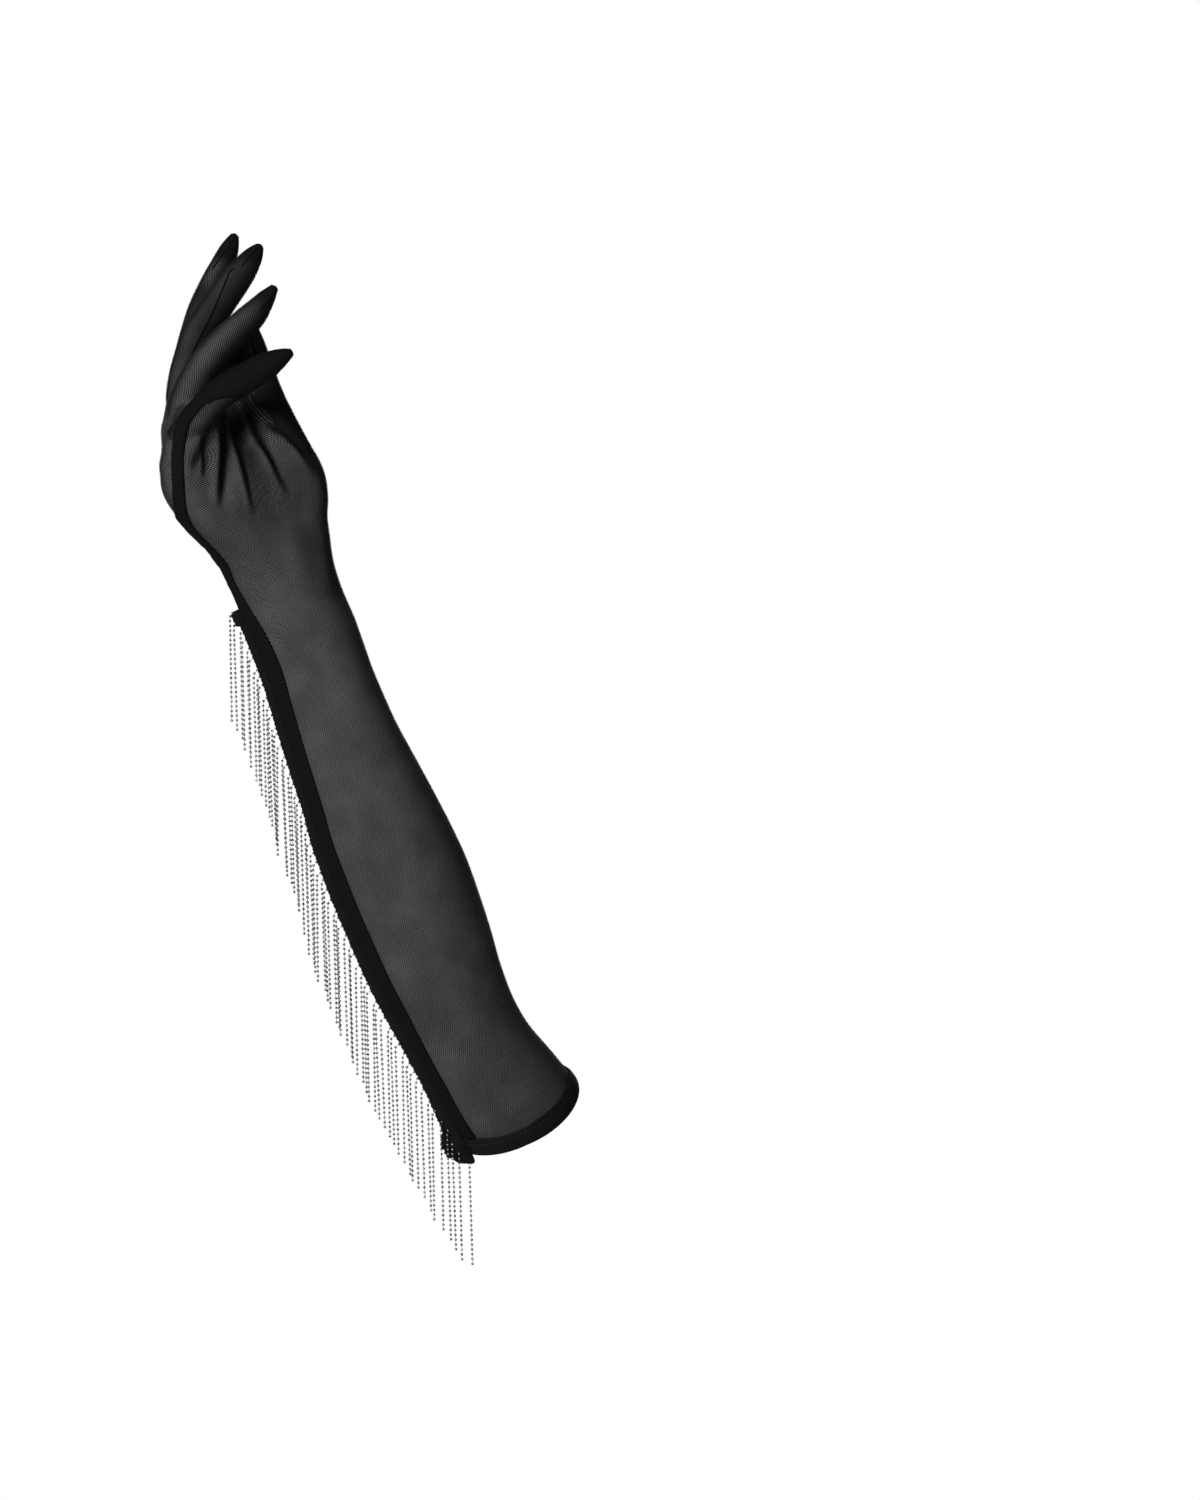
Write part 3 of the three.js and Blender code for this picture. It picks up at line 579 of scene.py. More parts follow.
markCover(clothForm)

# Painted shade on the net, where folds and fingers shade it. Each stroke runs over the near side of the
# hand:
# out and rise as above, its radius in millimetres and its depth of painted shade.
paintedShadows = {
    "underLittleFinger": [(-0.183, 0.499, 2.0, 0.85), (-0.171, 0.440, 2.9, 0.92), (-0.173, 0.370, 2.4, 0.85),
                          (-0.181, 0.300, 1.0, 0.6)],
    "middle": [(-0.158, 0.525, 3.2, 0.88), (-0.140, 0.470, 3.0, 0.75), (-0.123, 0.400, 2.4, 0.65),
               (-0.104, 0.330, 1.8, 0.5), (-0.090, 0.245, 0.9, 0.3)],
    "thumbSide": [(-0.128, 0.550, 3.8, 0.92), (-0.100, 0.480, 3.4, 0.9), (-0.075, 0.430, 2.4, 0.8),
                  (-0.045, 0.375, 1.2, 0.6), (-0.010, 0.300, 0.9, 0.4)],
    "betweenFolds": [(-0.110, 0.410, 3.6, 0.6), (-0.100, 0.350, 4.4, 0.65), (-0.080, 0.290, 4.6, 0.5),
                     (-0.066, 0.230, 4.0, 0.15)],
    "thumbMound": [(-0.020, 0.400, 6.0, 0.3), (0.010, 0.330, 9.0, 0.35), (0.020, 0.240, 8.0, 0.3)],
    "left": [(-0.214, 0.455, 2.4, 0.6), (-0.236, 0.415, 2.8, 0.6), (-0.258, 0.370, 2.6, 0.45),
             (-0.272, 0.330, 2.0, 0.2)],
    "thumbEdge": [(-0.048, 0.600, 6.5, 0.95), (-0.020, 0.540, 6.5, 0.95), (0.000, 0.480, 6.2, 0.93),
                  (0.030, 0.440, 4.5, 0.9), (0.062, 0.385, 3.4, 0.85), (0.095, 0.320, 3.0, 0.8),
                  (0.103, 0.250, 3.5, 0.8), (0.112, 0.150, 5.0, 0.7), (0.125, 0.030, 6.0, 0.6)],
    "thumbRoot": [(-0.085, 0.560, 6.0, 0.9), (-0.040, 0.540, 6.0, 0.9), (-0.005, 0.500, 4.0, 0.8)],
    "wrist": [(0.030, 0.190, 6.0, 0.5), (0.052, 0.130, 8.0, 0.6), (0.062, 0.040, 8.0, 0.35)],
}

# Painted light on the digits, a lit band along each: place, degrees round it, half width in degrees and
# painted light; ground is the painted light beside the band.
paintedLightStripes = {
    "littleFinger": {"ground": 0.15, "rows": [
        (0, 8, 42, 0.9), (2.6, 14, 34, 0.8), (3.6, 20, 30, 0.4), (7, 0, 40, 0.2)]},
    "ringFinger": {"ground": 0.05, "rows": [
        (0, -16, 58, 1.0), (3, -28, 50, 1.0), (4.8, -30, 42, 0.75), (6, -30, 40, 0.2), (7, 0, 40, 0)]},
    "middleFinger": {"ground": 0.16, "rows": [
        (0, -36, 36, 0.6), (2, -42, 32, 0.62), (4.6, -46, 30, 0.5), (5.2, -20, 30, 0.3), (6, 0, 30, 0),
        (7, 0, 30, 0)]},
    "indexFinger": {"ground": 0.12, "rows": [
        (0, -34, 44, 0.45), (2.4, -34, 40, 0.34), (3.8, -36, 34, 0.14), (4.4, -34, 28, 0.8),
        (5.1, -30, 26, 0.85), (5.5, -20, 30, 0.08), (7, 0, 30, 0)]},
    "thumb": {"ground": 0.10, "rows": [
        (0, -30, 60, 0.85), (1.3, -34, 50, 0.75), (2.4, -40, 44, 0.25), (4.6, -20, 40, 0.25),
        (5.2, 10, 40, 0.6), (5.9, 10, 40, 0.1), (7, 0, 30, 0)]},
}
toning = {
    "plain": 0.95,  # painted light of the cloth that no band reaches
    "stripeSide": 0.3, "strokeSide": 0.2, "sideFade": 0.5,  # where both fade out as the skin turns away
    "below": 25.0,  # strokes reach this many millimetres below the wrist
    "spots": 14,  # of a stroke, for each of its rows
}


# Paints light and shade onto the net: lit bands along the digits and shadow strokes over the hand, kept as
# the attribute shade that darkens the inner film
def markShade(made):
    light = np.full(len(made.data.vertices), toning["plain"])
    near = smoothStep((toning["stripeSide"] - smoothNormals[:, 1]) / toning["sideFade"])
    for name, stripe in paintedLightStripes.items():
        mine = partOf == partNames.index(name)
        place, angle = found[name][0][mine], found[name][1][mine]
        rows = np.array(stripe["rows"], float)
        middle, half, lit = (np.interp(place, rows[:, 0], rows[:, k]) for k in (1, 2, 3))
        away = (np.degrees(angle) - middle + 180) % 360 - 180
        ground = np.minimum(stripe["ground"], lit)
        striped = ground + (lit - ground) * np.exp(-(away / half) ** 2)
        light[mine] += (striped - light[mine]) * near[mine]
    facing = smoothStep((toning["strokeSide"] - smoothNormals[:, 1]) / toning["sideFade"])
    facing = facing * (smoothPoints[:, 2] > body["wrist"][2] - toning["below"])
    chosen = np.flatnonzero(facing)
    spots = (smoothPoints[chosen] - body["wrist"])[:, [0, 2]]
    shade = np.zeros(len(chosen))
    for stroke in paintedShadows.values():
        rows = np.array(stroke, float)
        steps = np.linspace(0, len(rows) - 1, toning["spots"] * len(rows))
        for out, rise, radius, tone in catmull(rows, steps):
            away = np.linalg.norm(spots - np.array([out, rise]) * glove["handHeight"], axis=1)
            shade = np.maximum(shade, tone * np.exp(-(away / radius) ** 2))
    light[chosen] *= 1 - shade * facing[chosen]
    setAttribute(made.data, "shade", 1 - np.clip(light, 0, 1))


markShade(clothForm)


def layKnit(made):
    # UV in metres: round and along the cloth, unwrapped so that no face spans the start of a turn
    mesh = made.data
    corner = np.empty(len(mesh.loops), int)
    mesh.loops.foreach_get("vertex_index", corner)
    totals = np.empty(len(mesh.polygons), int)
    mesh.polygons.foreach_get("loop_total", totals)
    faceOf = np.repeat(np.arange(len(totals)), totals)
    starts = np.concatenate([[0], np.cumsum(totals)[:-1]])
    facePart = partOf[corner[starts]][faceOf]
    uv = np.zeros((len(corner), 2))
    for k, name in enumerate(partNames):
        surface = surfaces[name]
        rows, sides = ((dense["rings"], dense["sides"]) if name == "body"
                       else (dense["digitRings"], dense["digitSides"]))
        shape = surface.points.reshape(rows, sides, 3)
        steps = np.linalg.norm(np.diff(shape.mean(1), axis=0), axis=1)
        along = np.concatenate([[0], np.cumsum(steps)])
        radius = np.linalg.norm(np.roll(shape, -1, axis=1) - shape, axis=2).sum(1) / (2 * math.pi)
        rowPlaces = np.linspace(0, surface.placeEnd, rows)
        place, angle, _, _ = found[name]
        mine = facePart == k
        near = -math.pi / 2 if name == "body" else 0.0
        lead = (angle[corner[starts]][faceOf[mine]] - near + math.pi) % (2 * math.pi) - math.pi + near
        turned = lead + (angle[corner[mine]] - lead + math.pi) % (2 * math.pi) - math.pi
        uv[mine, 0] = (turned - near) * np.interp(place[corner[mine]], rowPlaces, radius)
        uv[mine, 1] = np.interp(place[corner[mine]], rowPlaces, along)
    layer = mesh.uv_layers.new(name="knit")
    layer.data.foreach_set("uv", (uv * mm).astype(np.float32).ravel())


layKnit(clothForm)


def makeInnerFace(outer):
    # the inner layer of the net, a yarn's thickness in: the openings hide it where seen at a slant
    mesh = outer.data.copy()
    mesh.name = "mesh_glove_inner_face"
    setMeshPoints(mesh, meshPoints(outer.data) - meshNormals(outer.data) * dense["wall"])
    mesh.flip_normals()
    return placed("mesh_glove_inner_face", mesh)


innerFace = makeInnerFace(clothForm)
print("net walls made")

# Materials start here with the helpers that build them.


def toLinear(hexColour):
    parts = [int(hexColour[i:i + 2], 16) / 255 for i in (0, 2, 4)]
    return tuple(c / 12.92 if c <= 0.04045 else ((c + 0.055) / 1.055) ** 2.4 for c in parts) + (1.0,)


def addNode(tree, kind, inputs=None, output=0, **settings):
    # adds a node, sets or links its inputs and gives one of its outputs
    made = tree.nodes.new(kind)
    for name, value in settings.items():
        setattr(made, name, value)
    for name, value in (inputs or {}).items():
        if isinstance(value, bpy.types.NodeSocket):
            value = [value]
        if isinstance(value, list):
            for source in value:
                tree.links.new(source, made.inputs[name])
        else:
            made.inputs[name].default_value = value
    return made.outputs[output] if made.outputs else None


def newMaterial(name):
    made = bpy.data.materials.new(name)
    made.use_nodes = True
    made.node_tree.nodes.clear()
    return made, made.node_tree


noiseSpan = {"From Min": 0.3, "From Max": 0.7}  # values of a noise texture, stretched to a full range

# Sheer stretch mesh
knit = {
    "wale": 1.20, "course": 1.00,  # drawn coarser than the real 0.85 mm, so that it shows
    "slant": 0.22,  # how much longer the openings are along one diagonal
    "open": 0.0, "openSpread": 0.14,  # level above which the outer yarns leave an opening, and how it varies
    "softEdge": 0.08, "valley": -1.6,  # levels over which an opening's edge fades, and of the lowest yarn
    "creaseShadeStrength": 0.9,  # share of the openings that the painted crease shade closes and darkens
    "patchScale": 70.0, "filmPatchScale": 45.0,
    "relief": 0.1, "reliefShare": 0.25,  # millimetres of bump
    "roughness": 0.85, "specular": 0.12, "filmRoughness": 0.8, "filmSpecular": 0.15,
    # tip is the colour of the doubled cloth at the tips, and also the near black that painted shade in the
    # creases and on the film reaches
    "yarn": "151516", "yarnShade": "0c0c0d", "tip": "09090a",
    "film": "6a6a6b", "filmShade": "575758",
}


def netPattern(tree):
    # two sets of yarns that cross at a slant, each the cosine of the way across them
    coords = addNode(tree, "ShaderNodeUVMap", uv_map="knit")
    wale, course = 1 / (knit["wale"] * mm), 1 / (2 * knit["course"] * mm)
    sets = []
    for side in (1, -1):
        turns = (2 * math.pi * wale, 2 * math.pi * side * course, 0.0)
        across = addNode(tree, "ShaderNodeVectorMath", {0: coords, 1: turns}, "Value",
                         operation="DOT_PRODUCT")
        wave = addNode(tree, "ShaderNodeMath", {0: across}, operation="COSINE")
        sets.append(addNode(tree, "ShaderNodeMath", {0: wave, 1: 1 + side * knit["slant"]},
                            operation="MULTIPLY"))
    return addNode(tree, "ShaderNodeMath", {0: sets[0], 1: sets[1]}, operation="ADD")


def netYarn():
    # raised black yarns of stretch nylon: matt, with small openings between them
    material, tree = newMaterial("matBlackNylonYarn")
    pattern = netPattern(tree)
    place = addNode(tree, "ShaderNodeTexCoord", output="Object")
    patches = addNode(tree, "ShaderNodeTexNoise", {
        "Vector": place, "Scale": knit["patchScale"], "Detail": 3.0})
    # cover is the doubled cloth at the tips; gathered is painted shade in the creases. Both close the
    # openings and darken the yarn to the tip colour
    cover, gathered = (addNode(tree, "ShaderNodeAttribute", output="Fac", attribute_name=name)
                       for name in ("cover", "gathered"))
    level = addNode(tree, "ShaderNodeMapRange", {
        "Value": patches, **noiseSpan,
        "To Min": knit["open"] + knit["openSpread"], "To Max": knit["open"] - knit["openSpread"]})
    above = addNode(tree, "ShaderNodeMath", {0: pattern, 1: level}, operation="SUBTRACT")
    opening = addNode(tree, "ShaderNodeMapRange", {
        "Value": above, "From Min": -knit["softEdge"], "From Max": knit["softEdge"]})
    folded = addNode(tree, "ShaderNodeMath", {0: gathered, 1: knit["creaseShadeStrength"]}, operation="MULTIPLY")
    closed = addNode(tree, "ShaderNodeMath", {0: cover, 1: folded}, operation="MAXIMUM")
    left = addNode(tree, "ShaderNodeMath", {0: 1.0, 1: closed}, operation="SUBTRACT")
    opening = addNode(tree, "ShaderNodeMath", {0: opening, 1: left}, operation="MULTIPLY")
    alpha = addNode(tree, "ShaderNodeMath", {0: 1.0, 1: opening}, operation="SUBTRACT")
    # painted shade and highlight in the knit: each yarn is darker towards the openings' edges and lighter
    # along its middle
    ridge = addNode(tree, "ShaderNodeMapRange", {
        "Value": pattern, "From Min": 0.0, "From Max": knit["valley"]})
    shaded, plain, tip = (toLinear(knit[name]) for name in ("yarnShade", "yarn", "tip"))
    yarn = addNode(tree, "ShaderNodeMix", {0: ridge, 6: shaded, 7: plain}, 2, data_type="RGBA")
    yarn = addNode(tree, "ShaderNodeMix", {0: closed, 6: yarn, 7: tip}, 2, data_type="RGBA")
    height = addNode(tree, "ShaderNodeBump", {
        "Height": pattern, "Strength": knit["reliefShare"], "Distance": knit["relief"] * mm})
    shader = addNode(tree, "ShaderNodeBsdfPrincipled", {
        "Base Color": yarn, "Roughness": knit["roughness"], "Specular IOR Level": knit["specular"],
        "Alpha": alpha, "Normal": height})
    addNode(tree, "ShaderNodeOutputMaterial", {"Surface": shader})
    return material


def netFilm():
    # fine bare filaments behind the yarns: a paler close film that the light reaches through the openings
    material, tree = newMaterial("bareNylonFilament")
    place = addNode(tree, "ShaderNodeTexCoord", output="Object")
    patches = addNode(tree, "ShaderNodeTexNoise", {
        "Vector": place, "Scale": knit["filmPatchScale"], "Detail": 4.0})
    share = addNode(tree, "ShaderNodeMapRange", {"Value": patches, **noiseSpan})
    shaded, plain, tip = (toLinear(knit[name]) for name in ("filmShade", "film", "tip"))
    tone = addNode(tree, "ShaderNodeMix", {0: share, 6: shaded, 7: plain}, 2, data_type="RGBA")
    # painted light and shade from markShade: darkens the film towards the tip colour
    shade = addNode(tree, "ShaderNodeAttribute", output="Fac", attribute_name="shade")
    tone = addNode(tree, "ShaderNodeMix", {0: shade, 6: tone, 7: tip}, 2, data_type="RGBA")
    shader = addNode(tree, "ShaderNodeBsdfPrincipled", {
        "Base Color": tone, "Roughness": knit["filmRoughness"], "Specular IOR Level": knit["filmSpecular"]})
    addNode(tree, "ShaderNodeOutputMaterial", {"Surface": shader})
    return material


for wall, cloth in ((clothForm, netYarn()), (innerFace, netFilm())):
    wall.data.materials.clear()
    wall.data.materials.append(cloth)
    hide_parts("mesh_glove")
    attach(wall, "root")
print("net dressed")


def opaqueCloth(name, colour, roughness, specular, grain, bump):
    # closely knitted black cloth: fine grain, a little uneven in tone and gloss
    lighter, glossSpread, relief = 1.5, 0.05, 0.2 * mm
    material, tree = newMaterial(name)
    place = addNode(tree, "ShaderNodeTexCoord", output="Object")
    fine = addNode(tree, "ShaderNodeTexNoise", {"Vector": place, "Scale": 1 / (grain * mm), "Detail": 2.0})
    broad = addNode(tree, "ShaderNodeTexNoise", {"Vector": place, "Scale": 60.0, "Detail": 3.0})
    dark = toLinear(colour)
    light = tuple(lighter * part for part in dark[:3]) + (1.0,)
    share = addNode(tree, "ShaderNodeMapRange", {"Value": fine, "From Min": 0.35, "From Max": 0.65})
    tone = addNode(tree, "ShaderNodeMix", {0: share, 6: dark, 7: light}, 2, data_type="RGBA")
    gloss = addNode(tree, "ShaderNodeMapRange", {
        "Value": broad, **noiseSpan, "To Min": roughness - glossSpread, "To Max": roughness + glossSpread})
    height = addNode(tree, "ShaderNodeBump", {"Height": fine, "Strength": bump, "Distance": relief})
    shader = addNode(tree, "ShaderNodeBsdfPrincipled", {
        "Base Color": tone, "Roughness": gloss, "Specular IOR Level": specular, "Normal": height})
    addNode(tree, "ShaderNodeOutputMaterial", {"Surface": shader})
    return material


# Places along and round the sleeve that the band, the hem and the tape share.
sampled = np.linspace(0, knucklePlace, 521)


def angleAtShare(places, share):
    # angle on the near left side where the cloth lies a share of the half width inside the outline
    _, _, _, cores = sectionAt(places)
    goal = -(cores[:, :, 2] - cores[:, :, 0]).max(1) * (1 - share)
    best = np.full(len(places), math.pi)
    before = -reachOf(cores, best, 0)
    done = np.zeros(len(places), bool)
    for turn in np.linspace(0, math.pi / 2, 91)[1:]:
        angle = np.full(len(places), math.pi + turn)
        across = reachOf(cores, angle, 0) * np.cos(angle)
        hit = (across >= goal) & ~done
        part = np.clip((goal - before) / np.maximum(across - before, 1e-6), 0, 1)
        best = np.where(hit, math.pi + turn - (1 - part) * math.pi / 180, best)
        done |= hit
        before = across
    return best


grooveAngles = angleAtShare(sampled, catmull(body["share"], sampled)[:, 0])
edgeAngles = angleAtShare(sampled, catmull(body["share"], sampled)[:, 1])
grooveReach = reachOf(sectionAt(sampled)[3], grooveAngles, 0)
outline = skin(sampled, math.pi)
runs = np.concatenate([[0], np.cumsum(np.linalg.norm(np.diff(outline, axis=0), axis=1))])


def placeAtRun(run):
    return np.interp(run, runs, sampled)


# Side band: a smooth strip up the outer seam and over the back of the little finger.
band = {
    "low": 0.12, "high": 1.15,  # millimetres out of the net
    "roundness": 0.9, "edgeShare": 0.45,  # width over which its edges turn down, and their height's share
    "topPlace": wristPlace + 3.6, "hemClear": glove["hemDepth"] + 0.6,
    "fingerStart": 2.7, "fingerEnd": 7.5,
    "thinFrom": (4.6, 6.6), "thin": 0.75,  # where it thins out on the little finger, and by how much
    "rowLength": 9, "fingerRowLength": 6,  # millimetres counted for a row past its ends
    "bodySide": (0.3, 8), "handSide": (-0.05, 12),  # normals where it stops at the outline, and how fast
    "offSkin": 0.3, "offDrop": 2,  # it stops where the cloth lies further off the exact skin
    "samples": 160,  # of its path over the hand
    "colour": "080809",
}

# Middle of the band over the hand: out, rise and half its width in millimetres.
bandPath = np.array([
    (-0.246, 0.145, 2.8), (-0.270, 0.180, 3.0), (-0.289, 0.215, 3.2), (-0.299, 0.252, 3.2),
    (-0.303, 0.315, 3.1), (-0.305, 0.378, 3.1), (-0.300, 0.436, 3.3), (-0.285, 0.488, 3.3),
    (-0.253, 0.531, 3.3), (-0.211, 0.571, 3.6), (-0.152, 0.600, 5.0), (-0.114, 0.616, 5.5)])


def bandLevel():
    # millimetres inside the band's edges for each point of the skin, negative outside
    farOff = -5.0
    place, angle, distance, _ = found["body"]
    angle = angle % (2 * math.pi)
    groove, edge, reach = (np.interp(place, sampled, v) for v in (grooveAngles, edgeAngles, grooveReach))
    run = np.interp(place, sampled, runs)
    side, steep = band["bodySide"]
    onBody = np.minimum.reduce([
        (angle - groove) * reach - glove["grooveWidth"], (edge - angle) * reach,
        run - band["hemClear"], (band["topPlace"] - place) * band["rowLength"],
        (side - smoothNormals[:, 1]) * steep])
    onBody = onBody - band["offDrop"] * np.maximum(distance - band["offSkin"], 0)
    line = catmull(bandPath, np.linspace(0, len(bandPath) - 1, band["samples"]))
    tree = treeOf([(out, 0, rise) for out, rise, _ in line])
    spots = (smoothPoints - body["wrist"]) / glove["handHeight"]
    near = [tree.find((x, 0, z)) for x, _, z in spots]
    onHand = np.array([line[i][2] - away * glove["handHeight"] for _, i, away in near])
    allowed = (partOf == partNames.index("body")) | (partOf == partNames.index("littleFinger"))
    side, steep = band["handSide"]
    onHand = np.where(allowed, np.minimum(onHand, (side - smoothNormals[:, 1]) * steep), farOff)
    place, angle, distance, _ = found["littleFinger"]
    angle = (angle + math.pi) % (2 * math.pi) - math.pi
    start, end = (np.radians(np.interp(place, littleFingerBand[:, 0], littleFingerBand[:, k]))
                  for k in (1, 2))
    rows = digitRows["littleFinger"]
    radius = catmull(rows[:, 3:4], place)[:, 0] * glove["fingerWidth"] / 2
    onFinger = np.minimum.reduce([
        (angle - start) * radius, (end - angle) * radius,
        (place - band["fingerStart"]) * band["rowLength"],
        (band["fingerEnd"] - place) * band["fingerRowLength"]])
    onFinger = onFinger - band["offDrop"] * np.maximum(distance - band["offSkin"], 0)
    return np.maximum.reduce([onBody, onHand, onFinger])


def cutAtLevel(mesh, points, level):
    # the part of a mesh where level is positive, cut clean along its zero line
    kept, places, levels, faces = {}, [], [], []

    def corner(i):
        if i not in kept:
            kept[i] = len(places)
            places.append((i, i, 0.0))
            levels.append(level[i])
        return kept[i]

    def crossing(i, j):
        key = (min(i, j), max(i, j))
        if key not in kept:
            kept[key] = len(places)
            a, b = key
            places.append((a, b, level[a] / (level[a] - level[b])))
            levels.append(0.0)
        return kept[key]

    for ring in [tuple(p.vertices) for p in mesh.polygons]:
        inside = [level[i] > 0 for i in ring]
        if not any(inside):
            continue
        face = []
        for k, i in enumerate(ring):
            j = ring[(k + 1) % len(ring)]
            if inside[k]:
                face.append(corner(i))
            if inside[k] != inside[(k + 1) % len(ring)]:
                face.append(crossing(i, j))
        if len(face) > 2:
            faces.append(face)
    a, b, t = (np.array(v) for v in zip(*places))
    mixed = lambda values: values[a] + (values[b] - values[a]) * t[:, None]
    return mixed, np.array(levels), faces


def closedShell(name, low, high, faces):
    # a wall between two skins with the same faces, closed round its open edges
    count = len(low)
    edges = dict.fromkeys((i, face[(k + 1) % len(face)]) for face in faces for k, i in enumerate(face))
    rim = [(i, j) for i, j in edges if (j, i) not in edges]
    every = [tuple(face) for face in faces]
    every += [tuple(count + i for i in reversed(face)) for face in faces]
    every += [(j, i, count + i, count + j) for i, j in rim]
    return newObject(name, np.vstack([high, low]), every)


def makeBand():
    level = bandLevel()
    mixed, levels, faces = cutAtLevel(clothForm.data, smoothPoints, level)
    points, normals = mixed(meshPoints(clothForm.data)), mixed(smoothNormals)
    turn = 1 - np.clip(levels / band["roundness"], 0, 1)
    start, end = band["thinFrom"]
    onFinger = partOf == partNames.index("littleFinger")
    tipward = mixed(np.where(onFinger, found["littleFinger"][0], 0)[:, None])[:, 0]
    rise = band["edgeShare"] + (1 - band["edgeShare"]) * np.sqrt(1 - turn ** 2)
    rise = rise * (1 - band["thin"] * smoothStep((tipward - start) / (end - start)))
    high = points + normals * (band["low"] + (band["high"] - band["low"]) * rise)[:, None]
    return closedShell("side_band_tricot", points + normals * band["low"], high, faces)


sideBand = makeBand()
# brushed polyamide tricot: close, flat and nearly black, with a faint satin gloss
sideBand.data.materials.append(opaqueCloth("blackTricot", band["colour"], roughness=0.85,
                                           specular=0.08, grain=0.5, bump=0.15))
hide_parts("side_band")
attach(sideBand, "root")
print("side band made:", len(sideBand.data.polygons), "faces")

# Opening hem: the net's cover turned over the rim and stitched down.
hem = {
    "sides": 220, "outer": 1.25, "clear": 0.15, "inner": 0.75,
    "bottom": 0.55,  # how far it rolls past the rim
    "seamDown": 1.9, "seamDip": 0.22,  # the stitched line below its upper edge
    "wobble": 0.2, "waves": ((5, 0.7, 1.0), (11, 2.1, 0.6)),  # turns, phase and share of its unevenness
    "depth": 8.9,  # above the rim
    "cornerRise": 1.3, "cornerAt": -124, "cornerSpread": 15,  # how much more next to the tape
    "shallow": 0.75, "shallowAt": 20, "shallowSpread": 22,  # share by which it is lower at the right outline
    "colour": "0a0a0b",
}


def hump(angles, middle, spread):
    # 1 at the middle and less to both sides, in degrees round the opening
    turned = np.degrees((angles + math.pi) % (2 * math.pi) - math.pi)
    return np.exp(-((turned - middle) / spread) ** 2)


def makeHem():
    angles = np.arange(hem["sides"]) * 2 * math.pi / hem["sides"]
    top = hem["depth"]
    wobble = hem["wobble"] * sum(share * np.sin(turns * angles + phase)
                                 for turns, phase, share in hem["waves"])
    wobble += hem["cornerRise"] * hump(angles, hem["cornerAt"], hem["cornerSpread"])
    lower = 1 - hem["shallow"] * hump(angles, hem["shallowAt"], hem["shallowSpread"])
    outer, clear, inner = hem["outer"], hem["clear"], -dense["wall"] - hem["clear"]
    deep = inner - hem["inner"]
    # run up from the rim, distance out of the net and tail past the rim, once round the fold
    profile = [(top - 0.1, clear, 0), (top, clear + 0.35, 0), (top - 0.15, outer - 0.25, 0),
               (top - 0.6, outer, 0), (top - hem["seamDown"] + 0.4, outer, 0),
               (top - hem["seamDown"], outer - hem["seamDip"], 0),
               (top - hem["seamDown"] - 0.4, outer, 0), (4.0, outer + 0.08, 0), (1.0, outer + 0.03, 0),
               (0.0, outer - 0.1, 0.1), (0.0, 0.5 * outer, hem["bottom"]), (0.0, -0.2, hem["bottom"] + 0.1),
               (0.0, 0.6 * deep, hem["bottom"] * 0.8), (0.0, deep, 0.0), (2.0, deep, 0),
               (top - 1.0, deep, 0), (top - 0.4, inner - 0.1, 0), (top - 1.0, inner, 0), (0.3, inner, 0),
               (0.15, -0.5 * dense["wall"], 0.12), (0.3, clear, 0)]
    rings = []
    for run, offset, tail in profile:
        share = np.clip(run / top, 0, 1)
        places = placeAtRun(np.maximum((run + wobble * share) * lower, 0))
        rings.append(skin(places, angles, offset) + mouthNormal * tail)
    faces = gridFaces(len(rings), hem["sides"], rowsMeet=True)
    made = newObject("opening_hem_fold", np.vstack(rings), faces)
    outwards(made)
    return made


openingHem = makeHem()
# folded tricot binding: as the band, a little duller where it is doubled
openingHem.data.materials.append(opaqueCloth("blackBinding", hem["colour"], roughness=0.8,
                                             specular=0.12, grain=0.45, bump=0.18))
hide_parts("opening_hem")
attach(openingHem, "root")
print("hem made")

# Trim tape: a crocheted braid that carries the strands.
tape = {
    "rows": 760, "across": 30,
    "low": 0.1, "overHem": 1.45, "hemTop": 11.5,
    "stitch": 2.65, "columns": 3, "relief": 0.55, "lumps": 0.35,
    "chevron": 0.9, "chainNarrow": 1.9, "chainLevel": 0.6,  # slant, width and middle height of its stitches
    "roughFrom": 6, "roughOver": 22, "rougher": 1.2,  # its lower end is rougher, from this run down
    "nub": 1.5, "nubShare": 0.2,  # how far the loops at the strands stand out of its edge, and their width
    "ragged": 0.35,  # millimetres by which that edge wanders
    "cornerRun": -0.6, "cornerShare": 0.58, "cornerRight": 0.14,  # its lower end rounds off to a knob
    "bulge": 5.2,  # how much its bunched left side stands out just above that end
    "bulgeRun": 3.5, "bulgeSpread": 8.5, "bulgeTaper": 0.8, "bulgeUneven": 0.25,
    "endRound": 2.4, "tabRamp": 1.2,  # run over which its ends turn down, and over which the tab rises
    "edge": 0.12,  # share of its width over which an edge turns down
    "colour": "0b0b0c",
}


def ripple(a, b):
    # smooth unevenness between -1 and 1, the same on every run
    return (np.sin(1.31 * a + 0.83 * b + 0.4) + np.sin(0.57 * a - 1.73 * b + 1.9)
            + np.sin(2.11 * a + 1.07 * b + 3.3)) / 3


def tabShare(run):
    return smoothStep((run - glove["tapeLength"] + glove["tabLength"]) / tape["tabRamp"])


def tapeBase(run):
    over = 1 - smoothStep((run - glove["hemDepth"]) / (tape["hemTop"] - glove["hemDepth"] + 1.5))
    thick = glove["tapeThickness"] + glove["tabThickness"] * tabShare(run)
    return tape["low"] + tape["overHem"] * over, thick


def tapePoint(run, share, height):
    place = placeAtRun(np.maximum(run, 0))
    groove, reach = np.interp(place, sampled, grooveAngles), np.interp(place, sampled, grooveReach)
    angle = groove - (1 - share) * glove["tapeWidth"] / reach
    tail = np.maximum(-run, 0)
    return skin(place, angle, height) + mouthNormal * tail[:, None]


